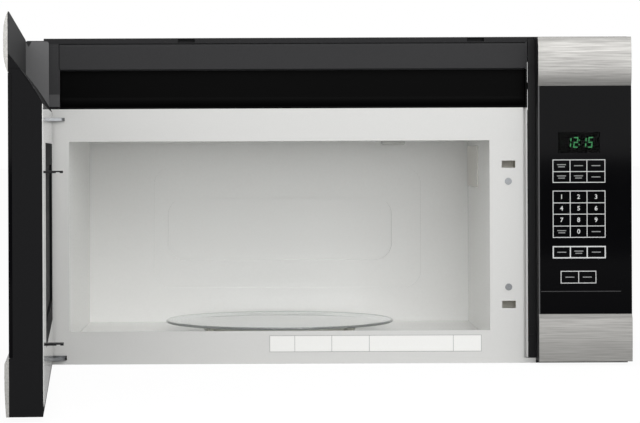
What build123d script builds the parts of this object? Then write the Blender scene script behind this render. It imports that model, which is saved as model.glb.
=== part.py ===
from build123d import *
import os
from math import cos, radians, sin

# Over-the-range microwave oven for a 30 in cabinet gap, drawn with its door standing open.
# Frame: X to the right as seen from the front, Y towards the wall, Z up, in millimetres.
# Origin: on the wall plane, on the centre line, level with the underside.

# ---------------------------------------------------------------- driving dimensions
BODY_W = 760.0  # across the case, for a 762 mm gap
BODY_H = 425.0  # underside to case top
HALF_W = BODY_W / 2
SHEET = 1.0  # steel sheet of case, plates and liner
WALL_PLATE_T = 2.0

PLATE_Y = -355.0  # front face of the white front plate
PLATE_BACK = PLATE_Y + SHEET
PLATE_RIGHT = 244.4
PLATE_TOP = 332.8
REAR_INNER_Y = -WALL_PLATE_T - SHEET

CAVITY_X = (-347.4, 200.7)
CAVITY_Z = (30.0, 290.4)
CAVITY_REAR_Y = -13.0
MOUTH_Z = (42.8, 290.4)  # the opening in the front plate stands above the cavity floor
SEAM = 0.02  # joined sheets of the liner and the front plate stand this far apart

DOOR_BOTTOM = 5.0  # fascia of door and panel
DOOR_TOP = 423.0
OPEN_ANGLE = 85.5  # how far the door stands open here
HINGE_X = -374.0
HINGE_Y = -362.5
DOOR_LEFT = -6.0  # door sizes run from the hinge axis: along the door, then through it
DOOR_LENGTH = 638.0
DOOR_RIGHT = DOOR_LEFT + DOOR_LENGTH
DOOR_INNER = 6.0
FASCIA = -30.0  # glass face
UPPER_CROWN = -34.7  # proudest lines of the steel bands
LOWER_CROWN = -34.5
UPPER_SHOULDER = -33.4  # the upper band's front line turns in here, this far from its edges
UPPER_SHOULDER_H = 11.0
GLASS_T = 3.8
BAND_SHEET = 0.8
UPPER_BAND = (360.0, DOOR_TOP)
LOWER_BAND = (DOOR_BOTTOM, 60.0)
LOWER_BAND_CHAMFER = 6.0

PANEL_X = (260.0, 380.0)
SLOT_X = (216.5, 234.2)  # latch slots in the front plate
SLOT_H = 9.4
SLOT_CENTRES = (259.0, 76.2)
HOOK_CENTRES = (257.2, 77.4)
LATCH_SCREWS = (236.8, 99.0)
LATCH_SCREW_X = 225.0

SPIN_X = (CAVITY_X[0] + CAVITY_X[1]) / 2  # turntable axis
SPIN_Y = -190.0
TRAY_R = 156.0
TRAY_Z = 40.0  # underside of the tray
WHEEL_R = 4.7
WHEEL_AXLE_Z = CAVITY_Z[0] + WHEEL_R + 0.3
RING_R = 100.0

BLOWER_Y = -75.0
BLOWER_Z = 346.0
FAN_X = 300.0
FAN_Z = 259.0
EXHAUST_W = 254.0  # 10 in by 3 1/4 in duct
EXHAUST_D = 82.5
EXHAUST_Y = -75.0
FILTER_SIZE = (194.0, 127.0, 8.5)
FILTER_CENTRES = (-213.0, 213.0)
FILTER_Y = -185.0

# ---------------------------------------------------------------- planes of the door and the fascia
DOOR = Plane(
    origin=(HINGE_X, HINGE_Y, 0),
    x_dir=(cos(radians(OPEN_ANGLE)), -sin(radians(OPEN_ANGLE)), 0),
    z_dir=(0, 0, 1),
)
DOOR_SIDE = Plane(origin=DOOR.origin, x_dir=DOOR.y_dir, z_dir=DOOR.x_dir)
PANEL_SIDE = Plane(origin=(0, HINGE_Y, 0), x_dir=(0, 1, 0), z_dir=(1, 0, 0))

os.makedirs("parts", exist_ok=True)


# ---------------------------------------------------------------- shared building steps
def slab(x, y, z, mode=Mode.ADD):
    """A block between two limits on each axis, in the part being built."""
    with Locations(((x[0] + x[1]) / 2, (y[0] + y[1]) / 2, (z[0] + z[1]) / 2)):
        Box(abs(x[1] - x[0]), abs(y[1] - y[0]), abs(z[1] - z[0]), mode=mode)


def rod(start, end, radius, mode=Mode.ADD):
    """A round bar from one point to another, in the part being built."""
    run = Vector(*end) - Vector(*start)
    with Locations(Plane(origin=start, z_dir=run)):
        Cylinder(radius, run.length, align=(Align.CENTER, Align.CENTER, Align.MIN), mode=mode)


def around(centre, width):
    """The two limits of a width about its centre."""
    return (centre - width / 2, centre + width / 2)


def upper_band_line(shift):
    """Front line of the upper steel band, crowned, moved inwards by shift."""
    (low, high) = UPPER_BAND
    return Spline(
        (FASCIA + shift, high),
        (UPPER_SHOULDER + shift, high - UPPER_SHOULDER_H),
        (UPPER_CROWN + shift, (low + high) / 2),
        (UPPER_SHOULDER + shift, low + UPPER_SHOULDER_H),
        (FASCIA + shift, low),
    )


def lower_band_lines(shift):
    """Front line of the lower steel band, a chamfer and a long flat crown, moved inwards by shift."""
    top = LOWER_BAND[1] + LOWER_BAND_CHAMFER
    middle = (LOWER_BAND[0] + LOWER_BAND[1]) / 2
    chamfer = Line((FASCIA + shift, top), (LOWER_CROWN + shift, LOWER_BAND[1]))
    crown = ThreePointArc(
        chamfer @ 1, (LOWER_CROWN + shift, middle), (LOWER_CROWN + shift + 1.5, LOWER_BAND[0])
    )
    return chamfer, crown


def upper_band(plane, length):
    """The upper steel band: a crowned sheet."""
    with BuildSketch(plane) as section:
        with BuildLine():
            front = upper_band_line(0)
            back = upper_band_line(BAND_SHEET)
            Line(front @ 0, back @ 0)
            Line(front @ 1, back @ 1)
        make_face()
    extrude(section.sketch, amount=length)


def lower_band(plane, length):
    """The lower steel band: a sheet with a chamfer along its top."""
    with BuildSketch(plane) as section:
        with BuildLine():
            front = lower_band_lines(0)
            back = lower_band_lines(BAND_SHEET)
            Line(front[0] @ 0, back[0] @ 0)
            Line(front[1] @ 1, back[1] @ 1)
        make_face()
    extrude(section.sketch, amount=length)


def upper_band_end(plane):
    """The folded end that closes the upper steel band."""
    with BuildSketch(plane) as section:
        with BuildLine():
            front = upper_band_line(0)
            Line(front @ 0, front @ 1)
        make_face()
    extrude(section.sketch, amount=-BAND_SHEET)


def lower_band_end(plane):
    """The folded end that closes the lower steel band."""
    with BuildSketch(plane) as section:
        with BuildLine():
            chamfer, crown = lower_band_lines(0)
            Polyline(chamfer @ 0, (FASCIA, LOWER_BAND[0]), crown @ 1)
        make_face()
    extrude(section.sketch, amount=-BAND_SHEET)


def fascia_front(seat):
    """Front outline of a moulded fascia, from its top edge down to its bottom edge."""
    gap = BAND_SHEET + 0.1
    top = upper_band_line(gap)
    Line(top @ 1, (seat, UPPER_BAND[0]))
    Line((seat, UPPER_BAND[0]), (seat, LOWER_BAND[1] + LOWER_BAND_CHAMFER))
    chamfer, crown = lower_band_lines(gap)
    Line((seat, LOWER_BAND[1] + LOWER_BAND_CHAMFER), chamfer @ 0)
    return top @ 0, crown @ 1


def write(piece, label):
    """Label a finished piece and write its STEP file."""
    piece.part.label = label
    export_step(piece.part, f"parts/{label}.step")


# ================================================================ case and chassis
# Wall plate: screwed to the studs first, its two hooks carry the oven's rear panel.
WALL_PLATE_X = 360.0
WALL_PLATE_H = 330.0
WALL_BOLT_X = 330.0
WALL_BOLT_Z = (30.0, 300.0)
WALL_BOLT_R = 4.0
HOOK_TAB_X = 250.0
HOOK_TAB_W = 30.0
HOOK_TAB_Z = 20.0
with BuildPart() as wall_mounting_plate:
    slab((-WALL_PLATE_X, WALL_PLATE_X), (-WALL_PLATE_T, 0), (0, WALL_PLATE_H))
    with BuildSketch(Plane.XZ):
        with Locations((0, 165)):
            with GridLocations(110, 120, 6, 2):
                RectangleRounded(80, 80, 10)
    extrude(amount=WALL_PLATE_T, mode=Mode.SUBTRACT)
    for x in (-WALL_BOLT_X, WALL_BOLT_X):
        for z in WALL_BOLT_Z:
            rod((x, -WALL_PLATE_T - 1, z), (x, 1, z), WALL_BOLT_R, Mode.SUBTRACT)
    for x in (-HOOK_TAB_X, HOOK_TAB_X):
        slab(around(x, HOOK_TAB_W), (-9, -WALL_PLATE_T), (HOOK_TAB_Z, HOOK_TAB_Z + 2))
        slab(around(x, HOOK_TAB_W), (-9, -7), (HOOK_TAB_Z, HOOK_TAB_Z + 14))
write(wall_mounting_plate, "wall_mounting_plate")

# Rear panel: sheet with the two hanging slots and rows of cooling slots behind the electrics.
with BuildPart() as rear_panel:
    slab(
        (-HALF_W + SHEET, HALF_W - SHEET),
        (REAR_INNER_Y, -WALL_PLATE_T),
        (SHEET, BODY_H - SHEET),
    )
    for x in (-HOOK_TAB_X, HOOK_TAB_X):
        slab(
            around(x, HOOK_TAB_W + 4),
            (REAR_INNER_Y - 1, 0),
            (HOOK_TAB_Z - 14, HOOK_TAB_Z + 2),
            Mode.SUBTRACT,
        )
    with BuildSketch(Plane.XZ):
        with Locations((295, 370)):
            with GridLocations(12, 40, 10, 2):
                SlotOverall(30, 4, rotation=90)
    extrude(amount=6, mode=Mode.SUBTRACT)
write(rear_panel, "rear_panel")

# Case top: flat sheet with the duct outlet, two bolt holes and the hole of the cord gland.
CABINET_BOLT_X = 254.0
CABINET_BOLT_Y = -320.0
CABINET_BOLT_R = 3.3
GLAND_X = 330.0
GLAND_Y = -60.0
GLAND_R = 9.0
GLAND_CLEARANCE = 0.1
TOP_CUT_Z = (BODY_H - 5, BODY_H + 5)
with BuildPart() as case_top:
    slab((-HALF_W, HALF_W), (PLATE_BACK, -WALL_PLATE_T), (BODY_H - SHEET, BODY_H))
    slab(around(0, EXHAUST_W), around(EXHAUST_Y, EXHAUST_D), TOP_CUT_Z, Mode.SUBTRACT)
    for x in (-CABINET_BOLT_X, CABINET_BOLT_X):
        rod((x, CABINET_BOLT_Y, TOP_CUT_Z[0]), (x, CABINET_BOLT_Y, TOP_CUT_Z[1]),
            CABINET_BOLT_R, Mode.SUBTRACT)
    rod((GLAND_X, GLAND_Y, TOP_CUT_Z[0]), (GLAND_X, GLAND_Y, TOP_CUT_Z[1]),
        GLAND_R + GLAND_CLEARANCE, Mode.SUBTRACT)
write(case_top, "case_top")

# Case sides: a flat sheet on each side, welded to the top.
with BuildPart() as case_sides:
    for x in ((-HALF_W, -HALF_W + SHEET), (HALF_W - SHEET, HALF_W)):
        slab(x, (PLATE_BACK, -WALL_PLATE_T), (SHEET, BODY_H - SHEET))
write(case_sides, "case_sides")

# Base plate: underside with openings for the two grease filters and the cooktop lamps.
LAMP_OPENING_X = (-62.0, 62.0)
LAMP_OPENING_Y = (-338.0, -278.0)
FILTER_GAP = 0.4
with BuildPart() as base_plate:
    slab((-HALF_W, HALF_W), (PLATE_BACK, -WALL_PLATE_T), (0, SHEET))
    for x in FILTER_CENTRES:
        slab(
            around(x, FILTER_SIZE[0] + 2 * FILTER_GAP),
            around(FILTER_Y, FILTER_SIZE[1] + 2 * FILTER_GAP),
            (-1, 2),
            Mode.SUBTRACT,
        )
    slab(LAMP_OPENING_X, LAMP_OPENING_Y, (-1, 2), Mode.SUBTRACT)
    with BuildSketch(Plane.XY):
        with Locations((-300, -60), (295, -60)):
            with GridLocations(12, 40, 8, 1):
                SlotOverall(34, 4, rotation=90)
    extrude(amount=SHEET, mode=Mode.SUBTRACT)
write(base_plate, "base_plate")

# Front plate: white sheet with the oven mouth, latch slots and slots for the hinge leaves.
HINGE_LEAF_X = (-378.0, -353.0)
HINGE_LEAF_T = 4.0
HINGE_LEAF_Z = (317.5, 5.5)  # underside of the upper and the lower leaf
LEAF_CLEARANCE = 0.2
LEAF_SLOTS = ((0.2, 0.2), (2.2, 1.7))  # room over each leaf, and at its right end
FLANGE_D = 9.0  # the plate's edges are folded back this far
CHANNEL_LIP_X = (247.8, 250.2)  # hemmed lip of the channel beside the control panel
CHANNEL_LIP_SETBACK = 1.5
FOOT_X = 260.0
FOOT_H = 6.5
with BuildPart() as front_plate:
    slab((-HALF_W, PLATE_RIGHT), (PLATE_Y, PLATE_BACK), (0, PLATE_TOP))
    slab((PLATE_RIGHT - SHEET, FOOT_X), (PLATE_Y, PLATE_BACK), (0, FOOT_H))
    slab((PLATE_RIGHT - SHEET, PLATE_RIGHT), (PLATE_Y, PLATE_Y + FLANGE_D), (SHEET, PLATE_TOP))
    slab((-HALF_W + SHEET + LEAF_CLEARANCE, PLATE_RIGHT), (PLATE_Y, PLATE_Y + FLANGE_D),
         (PLATE_TOP - SHEET, PLATE_TOP))
    slab((PLATE_RIGHT - SHEET, CHANNEL_LIP_X[1]),
         (PLATE_Y + FLANGE_D - SHEET, PLATE_Y + FLANGE_D), (SHEET, PLATE_TOP))
    slab(CHANNEL_LIP_X, (PLATE_Y + CHANNEL_LIP_SETBACK, PLATE_Y + FLANGE_D), (FOOT_H + 1, PLATE_TOP))
    with BuildSketch(Plane.XZ.offset(-PLATE_Y)):
        with Locations((SPIN_X, (MOUTH_Z[0] + MOUTH_Z[1]) / 2)):
            Rectangle(CAVITY_X[1] - CAVITY_X[0], MOUTH_Z[1] - MOUTH_Z[0])
        for z in SLOT_CENTRES:
            with Locations(((SLOT_X[0] + SLOT_X[1]) / 2, z)):
                Rectangle(SLOT_X[1] - SLOT_X[0], SLOT_H)
        for z in LATCH_SCREWS:
            with Locations((LATCH_SCREW_X, z)):
                Circle(2.1)
    extrude(amount=-SHEET, mode=Mode.SUBTRACT)
    for z, (over, beside) in zip(HINGE_LEAF_Z, LEAF_SLOTS):
        slab(
            (HINGE_LEAF_X[0] - LEAF_CLEARANCE, HINGE_LEAF_X[1] + beside),
            (PLATE_Y - 1, PLATE_BACK),
            (z - LEAF_CLEARANCE, z + HINGE_LEAF_T + over),
            Mode.SUBTRACT,
        )
    # seams level with the edges of the mouth and, on the right, of the latch slots
    mouth_seams = (MOUTH_Z[0] - SEAM, MOUTH_Z[1])
    slot_seams = [low for z in SLOT_CENTRES for low in (z - SLOT_H / 2 - SEAM, z + SLOT_H / 2)]
    for x, seams in (
        ((-HALF_W - 1, CAVITY_X[0] + 1), mouth_seams),
        ((CAVITY_X[1] - 1, FOOT_X), (*mouth_seams, *slot_seams)),
    ):
        for low in seams:
            slab(x, (PLATE_Y - 1, PLATE_Y + FLANGE_D + 1), (low, low + SEAM), Mode.SUBTRACT)
write(front_plate, "front_plate")

# Case screws: a row of pan heads along the top of the rear panel.
SCREW_HEAD_R = 4.0
SCREW_HEAD_T = 1.2
CASE_SCREW_Z = 412.0
with BuildPart() as case_screws:
    for x in (-340, -200, -60, 60, 200, 340):
        rod((x, -WALL_PLATE_T, CASE_SCREW_Z), (x, -WALL_PLATE_T + SCREW_HEAD_T, CASE_SCREW_Z),
            SCREW_HEAD_R)
write(case_screws, "case_screws")

# Power cord gland: bush with a flange on the case top.
CORD_BORE_R = 4.2
with BuildPart() as power_cord_gland:
    rod((GLAND_X, GLAND_Y, BODY_H - 7), (GLAND_X, GLAND_Y, BODY_H + 5), GLAND_R)
    rod((GLAND_X, GLAND_Y, BODY_H), (GLAND_X, GLAND_Y, BODY_H + 2), GLAND_R + 4)
    rod((GLAND_X, GLAND_Y, BODY_H - 8), (GLAND_X, GLAND_Y, BODY_H + 6), CORD_BORE_R,
        Mode.SUBTRACT)
write(power_cord_gland, "power_cord_gland")

# ================================================================ oven cavity
# Liner: box of welded sheets, its rear wall embossed in two steps.
EMBOSS_OUTER = ((-254.0, 132.0), (79.0, 253.0), 24.0)  # limits in X, in Z, corner radius
EMBOSS_INNER = ((-234.0, 90.0), (119.0, 209.0), 24.0)
EMBOSS_STEPS = (2.0, 5.0)
SHAFT_HOLE_R = 6.0
PORT_Y = (-150.0, -60.0)
PORT_Z = (240.0, 276.0)
LAMP_LENS_X = (70.0, 101.0)
LAMP_LENS_Y = (-170.0, -130.0)


def rounded_window(limits, grow):
    """A rounded rectangle between limits in X and Z, grown on all sides."""
    (x, z, radius) = limits
    with Locations(((x[0] + x[1]) / 2, (z[0] + z[1]) / 2)):
        RectangleRounded(x[1] - x[0] + 2 * grow, z[1] - z[0] + 2 * grow, radius + grow)


with BuildPart() as cavity_liner:
    liner_z = (CAVITY_Z[0] - SHEET, CAVITY_Z[1] + SHEET)
    liner_y = (PLATE_BACK, CAVITY_REAR_Y - SEAM)
    for x in ((CAVITY_X[0] - SHEET, CAVITY_X[0]), (CAVITY_X[1], CAVITY_X[1] + SHEET)):
        slab(x, liner_y, liner_z)
    for z in ((liner_z[0], CAVITY_Z[0]), (CAVITY_Z[1], liner_z[1])):
        slab((CAVITY_X[0] + SEAM, CAVITY_X[1] - SEAM), liner_y, z)
    # rear wall, embossed away from the mouth
    slab((CAVITY_X[0] - SHEET, CAVITY_X[1] + SHEET), (CAVITY_REAR_Y, CAVITY_REAR_Y + SHEET), liner_z)
    emboss = ((EMBOSS_OUTER, EMBOSS_STEPS[0]), (EMBOSS_INNER, sum(EMBOSS_STEPS)))
    for limits, depth in emboss:
        with BuildSketch(Plane.XZ.offset(-CAVITY_REAR_Y)):
            rounded_window(limits, SHEET)
        extrude(amount=-depth - SHEET)
    for limits, depth in emboss:
        with BuildSketch(Plane.XZ.offset(-CAVITY_REAR_Y)):
            rounded_window(limits, 0)
        extrude(amount=-depth, mode=Mode.SUBTRACT)
    rod((SPIN_X, SPIN_Y, 0), (SPIN_X, SPIN_Y, 35), SHAFT_HOLE_R, Mode.SUBTRACT)
    slab((CAVITY_X[1] - 1, CAVITY_X[1] + 5), PORT_Y, PORT_Z, Mode.SUBTRACT)
    slab(
        (LAMP_LENS_X[0] + 4, LAMP_LENS_X[1] - 4),
        (LAMP_LENS_Y[0] + 4, LAMP_LENS_Y[1] - 4),
        (CAVITY_Z[1] - 1, CAVITY_Z[1] + 5),
        Mode.SUBTRACT,
    )
    with BuildSketch(Plane.XY.offset(CAVITY_Z[1] - 1)):
        with Locations((-161, -200)):
            with GridLocations(8, 8, 14, 4):
                Circle(1.6)
    extrude(amount=5, mode=Mode.SUBTRACT)
write(cavity_liner, "cavity_liner")

with BuildPart() as waveguide_cover:
    slab((CAVITY_X[1] - 1.3, CAVITY_X[1]), (-182, -22), (226, 283))
    edges = waveguide_cover.edges().filter_by(Axis.X)
    fillet(edges, 4)
write(waveguide_cover, "waveguide_cover")

with BuildPart() as cavity_lamp_lens:
    slab(LAMP_LENS_X, LAMP_LENS_Y, (CAVITY_Z[1] - 5.5, CAVITY_Z[1]))
    fillet(cavity_lamp_lens.faces().sort_by(Axis.Z)[0].edges(), 2)
    slab(
        (LAMP_LENS_X[0] + 4, LAMP_LENS_X[1] - 4),
        (LAMP_LENS_Y[0] + 4, LAMP_LENS_Y[1] - 4),
        (CAVITY_Z[1] - 3.5, CAVITY_Z[1] + 1),
        Mode.SUBTRACT,
    )
write(cavity_lamp_lens, "cavity_lamp_lens")

# Cavity lamp: a small bulb in a holder that stands over the lens.
LINER_TOP = CAVITY_Z[1] + SHEET
lamp_x = (LAMP_LENS_X[0] + LAMP_LENS_X[1]) / 2
lamp_y = (LAMP_LENS_Y[0] + LAMP_LENS_Y[1]) / 2
with BuildPart() as cavity_lamp:
    slab(around(lamp_x, 40), around(lamp_y, 48), (LINER_TOP, LINER_TOP + 40))
    slab(around(lamp_x, 36), around(lamp_y, 44), (LINER_TOP - 1, LINER_TOP + 38), Mode.SUBTRACT)
    rod((lamp_x, lamp_y, LINER_TOP + 22), (lamp_x, lamp_y, LINER_TOP + 52), 8)
    with Locations((lamp_x, lamp_y, LINER_TOP + 16)):
        Sphere(10)
write(cavity_lamp, "cavity_lamp")

# ================================================================ turntable
MOTOR_Z = (10.0, CAVITY_Z[0] - SHEET)
STEM_R = 3.3
with BuildPart() as turntable_motor:
    rod((SPIN_X, SPIN_Y, MOTOR_Z[0]), (SPIN_X, SPIN_Y, MOTOR_Z[1]), 25)
    slab(around(SPIN_X, 68), around(SPIN_Y, 12), (MOTOR_Z[1] - 1.2, MOTOR_Z[1]))
    for x in (SPIN_X - 29.5, SPIN_X + 29.5):
        rod((x, SPIN_Y, MOTOR_Z[0]), (x, SPIN_Y, MOTOR_Z[1] + 1), 2.2, Mode.SUBTRACT)
    rod((SPIN_X, SPIN_Y, MOTOR_Z[1] - 12), (SPIN_X, SPIN_Y, MOTOR_Z[1] + 1), STEM_R + 0.1,
        Mode.SUBTRACT)
write(turntable_motor, "turntable_motor")

# Coupler: stem into the motor, three lobes that take the tray round.
LOBES = 3
with BuildPart() as turntable_coupler:
    rod((SPIN_X, SPIN_Y, MOTOR_Z[1] - 11), (SPIN_X, SPIN_Y, TRAY_Z - 5), STEM_R)
    rod((SPIN_X, SPIN_Y, CAVITY_Z[0] + 1), (SPIN_X, SPIN_Y, TRAY_Z - 0.4), 9)
    with BuildSketch(Plane.XY.offset(CAVITY_Z[0] + 1.5)):
        with Locations((SPIN_X, SPIN_Y)):
            with PolarLocations(9, LOBES):
                SlotOverall(18, 8)
    extrude(amount=TRAY_Z - 0.4 - CAVITY_Z[0] - 1.5)
write(turntable_coupler, "turntable_coupler")

# Tray: a flat glass plate whose border rises to a rounded rim, with three stops for the coupler.
TRAY_T = 3.5
TRAY_RISE = 6.0
with BuildPart() as glass_tray:
    with BuildSketch(Plane(origin=(SPIN_X, SPIN_Y, 0), x_dir=(1, 0, 0), z_dir=(0, -1, 0))):
        with BuildLine():
            Polyline(
                (TRAY_R - 1, TRAY_Z + TRAY_RISE - 3),
                (TRAY_R - 26, TRAY_Z),
                (0, TRAY_Z),
                (0, TRAY_Z + TRAY_T),
                (TRAY_R - 28, TRAY_Z + TRAY_T),
                (TRAY_R - 3, TRAY_Z + TRAY_RISE),
            )
            ThreePointArc(
                (TRAY_R - 3, TRAY_Z + TRAY_RISE),
                (TRAY_R, TRAY_Z + TRAY_RISE - 1),
                (TRAY_R - 1, TRAY_Z + TRAY_RISE - 3),
            )
        make_face()
    revolve(axis=Axis((SPIN_X, SPIN_Y, 0), (0, 0, 1)))
    with BuildSketch(Plane.XY.offset(TRAY_Z - 4)):
        with Locations((SPIN_X, SPIN_Y)):
            with PolarLocations(15, LOBES, start_angle=60):
                Circle(4)
    extrude(amount=4)
write(glass_tray, "glass_tray")

# Roller ring: a flat ring with three stub axles, each carrying a wheel between floor and tray.
WHEEL_PATH_R = 108.0
WHEEL_W = 6.0
AXLE_R = 1.5
with BuildPart() as roller_ring:
    with BuildSketch(Plane.XY.offset(WHEEL_AXLE_Z - 2)):
        with Locations((SPIN_X, SPIN_Y)):
            Circle(RING_R + 4)
            Circle(RING_R - 4, mode=Mode.SUBTRACT)
    extrude(amount=4)
    for turn in range(3):
        out = Vector(1, 0, 0).rotate(Axis.Z, 120 * turn + 90)
        centre = Vector(SPIN_X, SPIN_Y, WHEEL_AXLE_Z)
        tip = WHEEL_PATH_R + WHEEL_W / 2 + 0.4
        rod(tuple(centre + out * RING_R), tuple(centre + out * tip), AXLE_R)
        rod(tuple(centre + out * tip), tuple(centre + out * (tip + 1.5)), AXLE_R + 1.2)
write(roller_ring, "roller_ring")

for turn in range(3):
    out = Vector(1, 0, 0).rotate(Axis.Z, 120 * turn + 90)
    centre = Vector(SPIN_X, SPIN_Y, WHEEL_AXLE_Z)
    near = tuple(centre + out * (WHEEL_PATH_R - WHEEL_W / 2))
    far = tuple(centre + out * (WHEEL_PATH_R + WHEEL_W / 2))
    with BuildPart() as roller_wheel:
        rod(near, far, WHEEL_R)
        rod(near, far, AXLE_R + 0.1, Mode.SUBTRACT)
    write(roller_wheel, f"roller_wheel_{turn + 1}")

# ================================================================ vent zone over the oven mouth
GRILLE_X = (-378.9, 250.2)
POST_X = (-359.0, 247.6)  # inner edges of the left post and the right end wall
GRILLE_TOP = BODY_H - SHEET
STRIP_Z = 418.0
VISOR_Z = 384.5
RECESS_Y = -338.0
GRILLE_WALL = 2.5
VANE_COUNT = 14
POST_GROOVE_X = (-360.5, -359.3)
NOTCH_X = (-194.0, 183.0)
NOTCH_W = 22.0
with BuildPart() as vent_grille:
    # strip, step and visor
    with BuildSketch(Plane.YZ.offset(GRILLE_X[0])):
        with BuildLine():
            Polyline(
                (PLATE_Y, GRILLE_TOP),
                (PLATE_Y, STRIP_Z),
                (PLATE_Y + 2.5, STRIP_Z - 0.6),
                (PLATE_Y + 0.9, STRIP_Z - 1.0),
                (PLATE_Y + 0.1, STRIP_Z - 2),
                (PLATE_Y - 0.1, STRIP_Z - 3.5),
                (PLATE_Y + 1.6, VISOR_Z),
                (PLATE_Y + 2.2 + GRILLE_WALL, VISOR_Z),
                (PLATE_Y + 3.8 + GRILLE_WALL, STRIP_Z - 1),
                (PLATE_Y + 14, STRIP_Z + 3.5),
                (PLATE_Y + 14, GRILLE_TOP),
                close=True,
            )
        make_face()
    extrude(amount=GRILLE_X[1] - GRILLE_X[0])
    # recess wall with a swept foot that meets the front plate
    with BuildSketch(Plane.YZ.offset(GRILLE_X[0])):
        with BuildLine():
            Line((RECESS_Y, 404), (RECESS_Y, 348))
            ThreePointArc((RECESS_Y, 348), (-341.5, 339.5), (PLATE_Y + 1, PLATE_TOP + 2.5))
            Line((PLATE_Y + 1, PLATE_TOP + 2.5), (PLATE_Y + 1, PLATE_TOP))
            Line((PLATE_Y + 1, PLATE_TOP), (RECESS_Y - 6, PLATE_TOP))
            ThreePointArc(
                (RECESS_Y - 6, PLATE_TOP),
                (RECESS_Y + GRILLE_WALL - 2, 340),
                (RECESS_Y + GRILLE_WALL, 348),
            )
            Line((RECESS_Y + GRILLE_WALL, 348), (RECESS_Y + GRILLE_WALL, 404))
            Line((RECESS_Y + GRILLE_WALL, 404), (RECESS_Y, 404))
        make_face()
    extrude(amount=GRILLE_X[1] - GRILLE_X[0])
    # vanes across the air slot behind the visor
    for count in range(VANE_COUNT):
        x = POST_X[0] + (POST_X[1] - POST_X[0]) * (count + 0.5) / VANE_COUNT
        slab(around(x, 2), (PLATE_Y + 4, RECESS_Y + 1), (VISOR_Z + 2, 403))
    # end posts
    slab((GRILLE_X[0], POST_X[0]), (PLATE_Y, RECESS_Y + GRILLE_WALL), (PLATE_TOP, GRILLE_TOP))
    slab((POST_X[1], GRILLE_X[1]), (PLATE_Y, RECESS_Y + GRILLE_WALL), (PLATE_TOP, GRILLE_TOP))
    slab(POST_GROOVE_X, (PLATE_Y - 1, PLATE_Y + 2), (VISOR_Z, STRIP_Z), Mode.SUBTRACT)
    for x in NOTCH_X:
        slab(around(x, NOTCH_W), (PLATE_Y - 1, PLATE_Y + 9), (STRIP_Z + 1, BODY_H), Mode.SUBTRACT)
write(vent_grille, "vent_grille")

# Charcoal filter: a framed pad that stands on the liner behind the recess.
with BuildPart() as charcoal_filter:
    slab((-300, 150), (-332, -318), (LINER_TOP, 376))
    with BuildSketch(Plane.XZ.offset(332)):
        with Locations((-75, (LINER_TOP + 376) / 2)):
            with GridLocations(36, 36, 12, 2):
                RectangleRounded(30, 30, 4)
    extrude(amount=-4, mode=Mode.SUBTRACT)
write(charcoal_filter, "charcoal_filter")

# ================================================================ blower
SCROLL_R = 47.0
SCROLL_WALL = 1.5
SCROLL_LENGTH = 84.0
SCROLL_X = 79.0  # centre of each scroll, left and right
OUTLET_TOP = 418.0
THROAT = (BLOWER_Y - 37, BLOWER_Y + SCROLL_R)
BLOWER_SHAFT_R = 4.0
SHAFT_CLEARANCE = 0.1
IMPELLER_R = 40.0
IMPELLER_LENGTH = 70.0
BLADES = 22


def scroll_section(grow):
    """Cross-section of a scroll with its throat, grown on all sides."""
    with Locations((BLOWER_Y, BLOWER_Z)):
        Circle(SCROLL_R + grow)
    with Locations(((THROAT[0] + THROAT[1]) / 2, (BLOWER_Z + OUTLET_TOP) / 2)):
        Rectangle(THROAT[1] - THROAT[0] + 2 * grow, OUTLET_TOP - BLOWER_Z)


with BuildPart() as blower_housings:
    for side in (-1, 1):
        start = side * SCROLL_X - SCROLL_LENGTH / 2
        with BuildSketch(Plane.YZ.offset(start)):
            scroll_section(SCROLL_WALL)
        extrude(amount=SCROLL_LENGTH)
        with BuildSketch(Plane.YZ.offset(start + SCROLL_WALL)):
            scroll_section(0)
        extrude(amount=SCROLL_LENGTH - 2 * SCROLL_WALL, mode=Mode.SUBTRACT)
        for x in (start - 1, start + SCROLL_LENGTH - 3):
            rod((x, BLOWER_Y, BLOWER_Z), (x + 4, BLOWER_Y, BLOWER_Z), 28, Mode.SUBTRACT)
        slab(around(side * SCROLL_X, SCROLL_LENGTH), around(BLOWER_Y, 60),
             (LINER_TOP, BLOWER_Z - SCROLL_R - 0.2))
    slab((-50, 50), around(BLOWER_Y, 60), (LINER_TOP, LINER_TOP + 3))
write(blower_housings, "blower_housings")

with BuildPart() as blower_motor:
    rod((-32, BLOWER_Y, BLOWER_Z), (32, BLOWER_Y, BLOWER_Z), 30)
    fillet(blower_motor.edges().filter_by(GeomType.CIRCLE), 5)
    slab((-20, 20), around(BLOWER_Y, 44), (LINER_TOP + 3, BLOWER_Z - 12))
    rod((-40, BLOWER_Y, BLOWER_Z), (40, BLOWER_Y, BLOWER_Z), BLOWER_SHAFT_R + SHAFT_CLEARANCE,
        Mode.SUBTRACT)
write(blower_motor, "blower_motor")

with BuildPart() as blower_rotor:
    reach = SCROLL_X + IMPELLER_LENGTH / 2
    rod((-reach, BLOWER_Y, BLOWER_Z), (reach, BLOWER_Y, BLOWER_Z), BLOWER_SHAFT_R)
    for side in (-1, 1):
        start = side * SCROLL_X - IMPELLER_LENGTH / 2
        hub = Plane(origin=(start, BLOWER_Y, BLOWER_Z), x_dir=(0, 1, 0), z_dir=(1, 0, 0))
        with BuildSketch(hub.offset(IMPELLER_LENGTH / 2 - 1)):
            Circle(IMPELLER_R)
        extrude(amount=2)
        for ring in (0, IMPELLER_LENGTH - 3):
            with BuildSketch(hub.offset(ring)):
                Circle(IMPELLER_R)
                Circle(IMPELLER_R - 7, mode=Mode.SUBTRACT)
            extrude(amount=3)
        with BuildSketch(hub):
            with PolarLocations(IMPELLER_R - 4, BLADES):
                Rectangle(7, 1.2, rotation=25)
        extrude(amount=IMPELLER_LENGTH)
write(blower_rotor, "blower_rotor")

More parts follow.
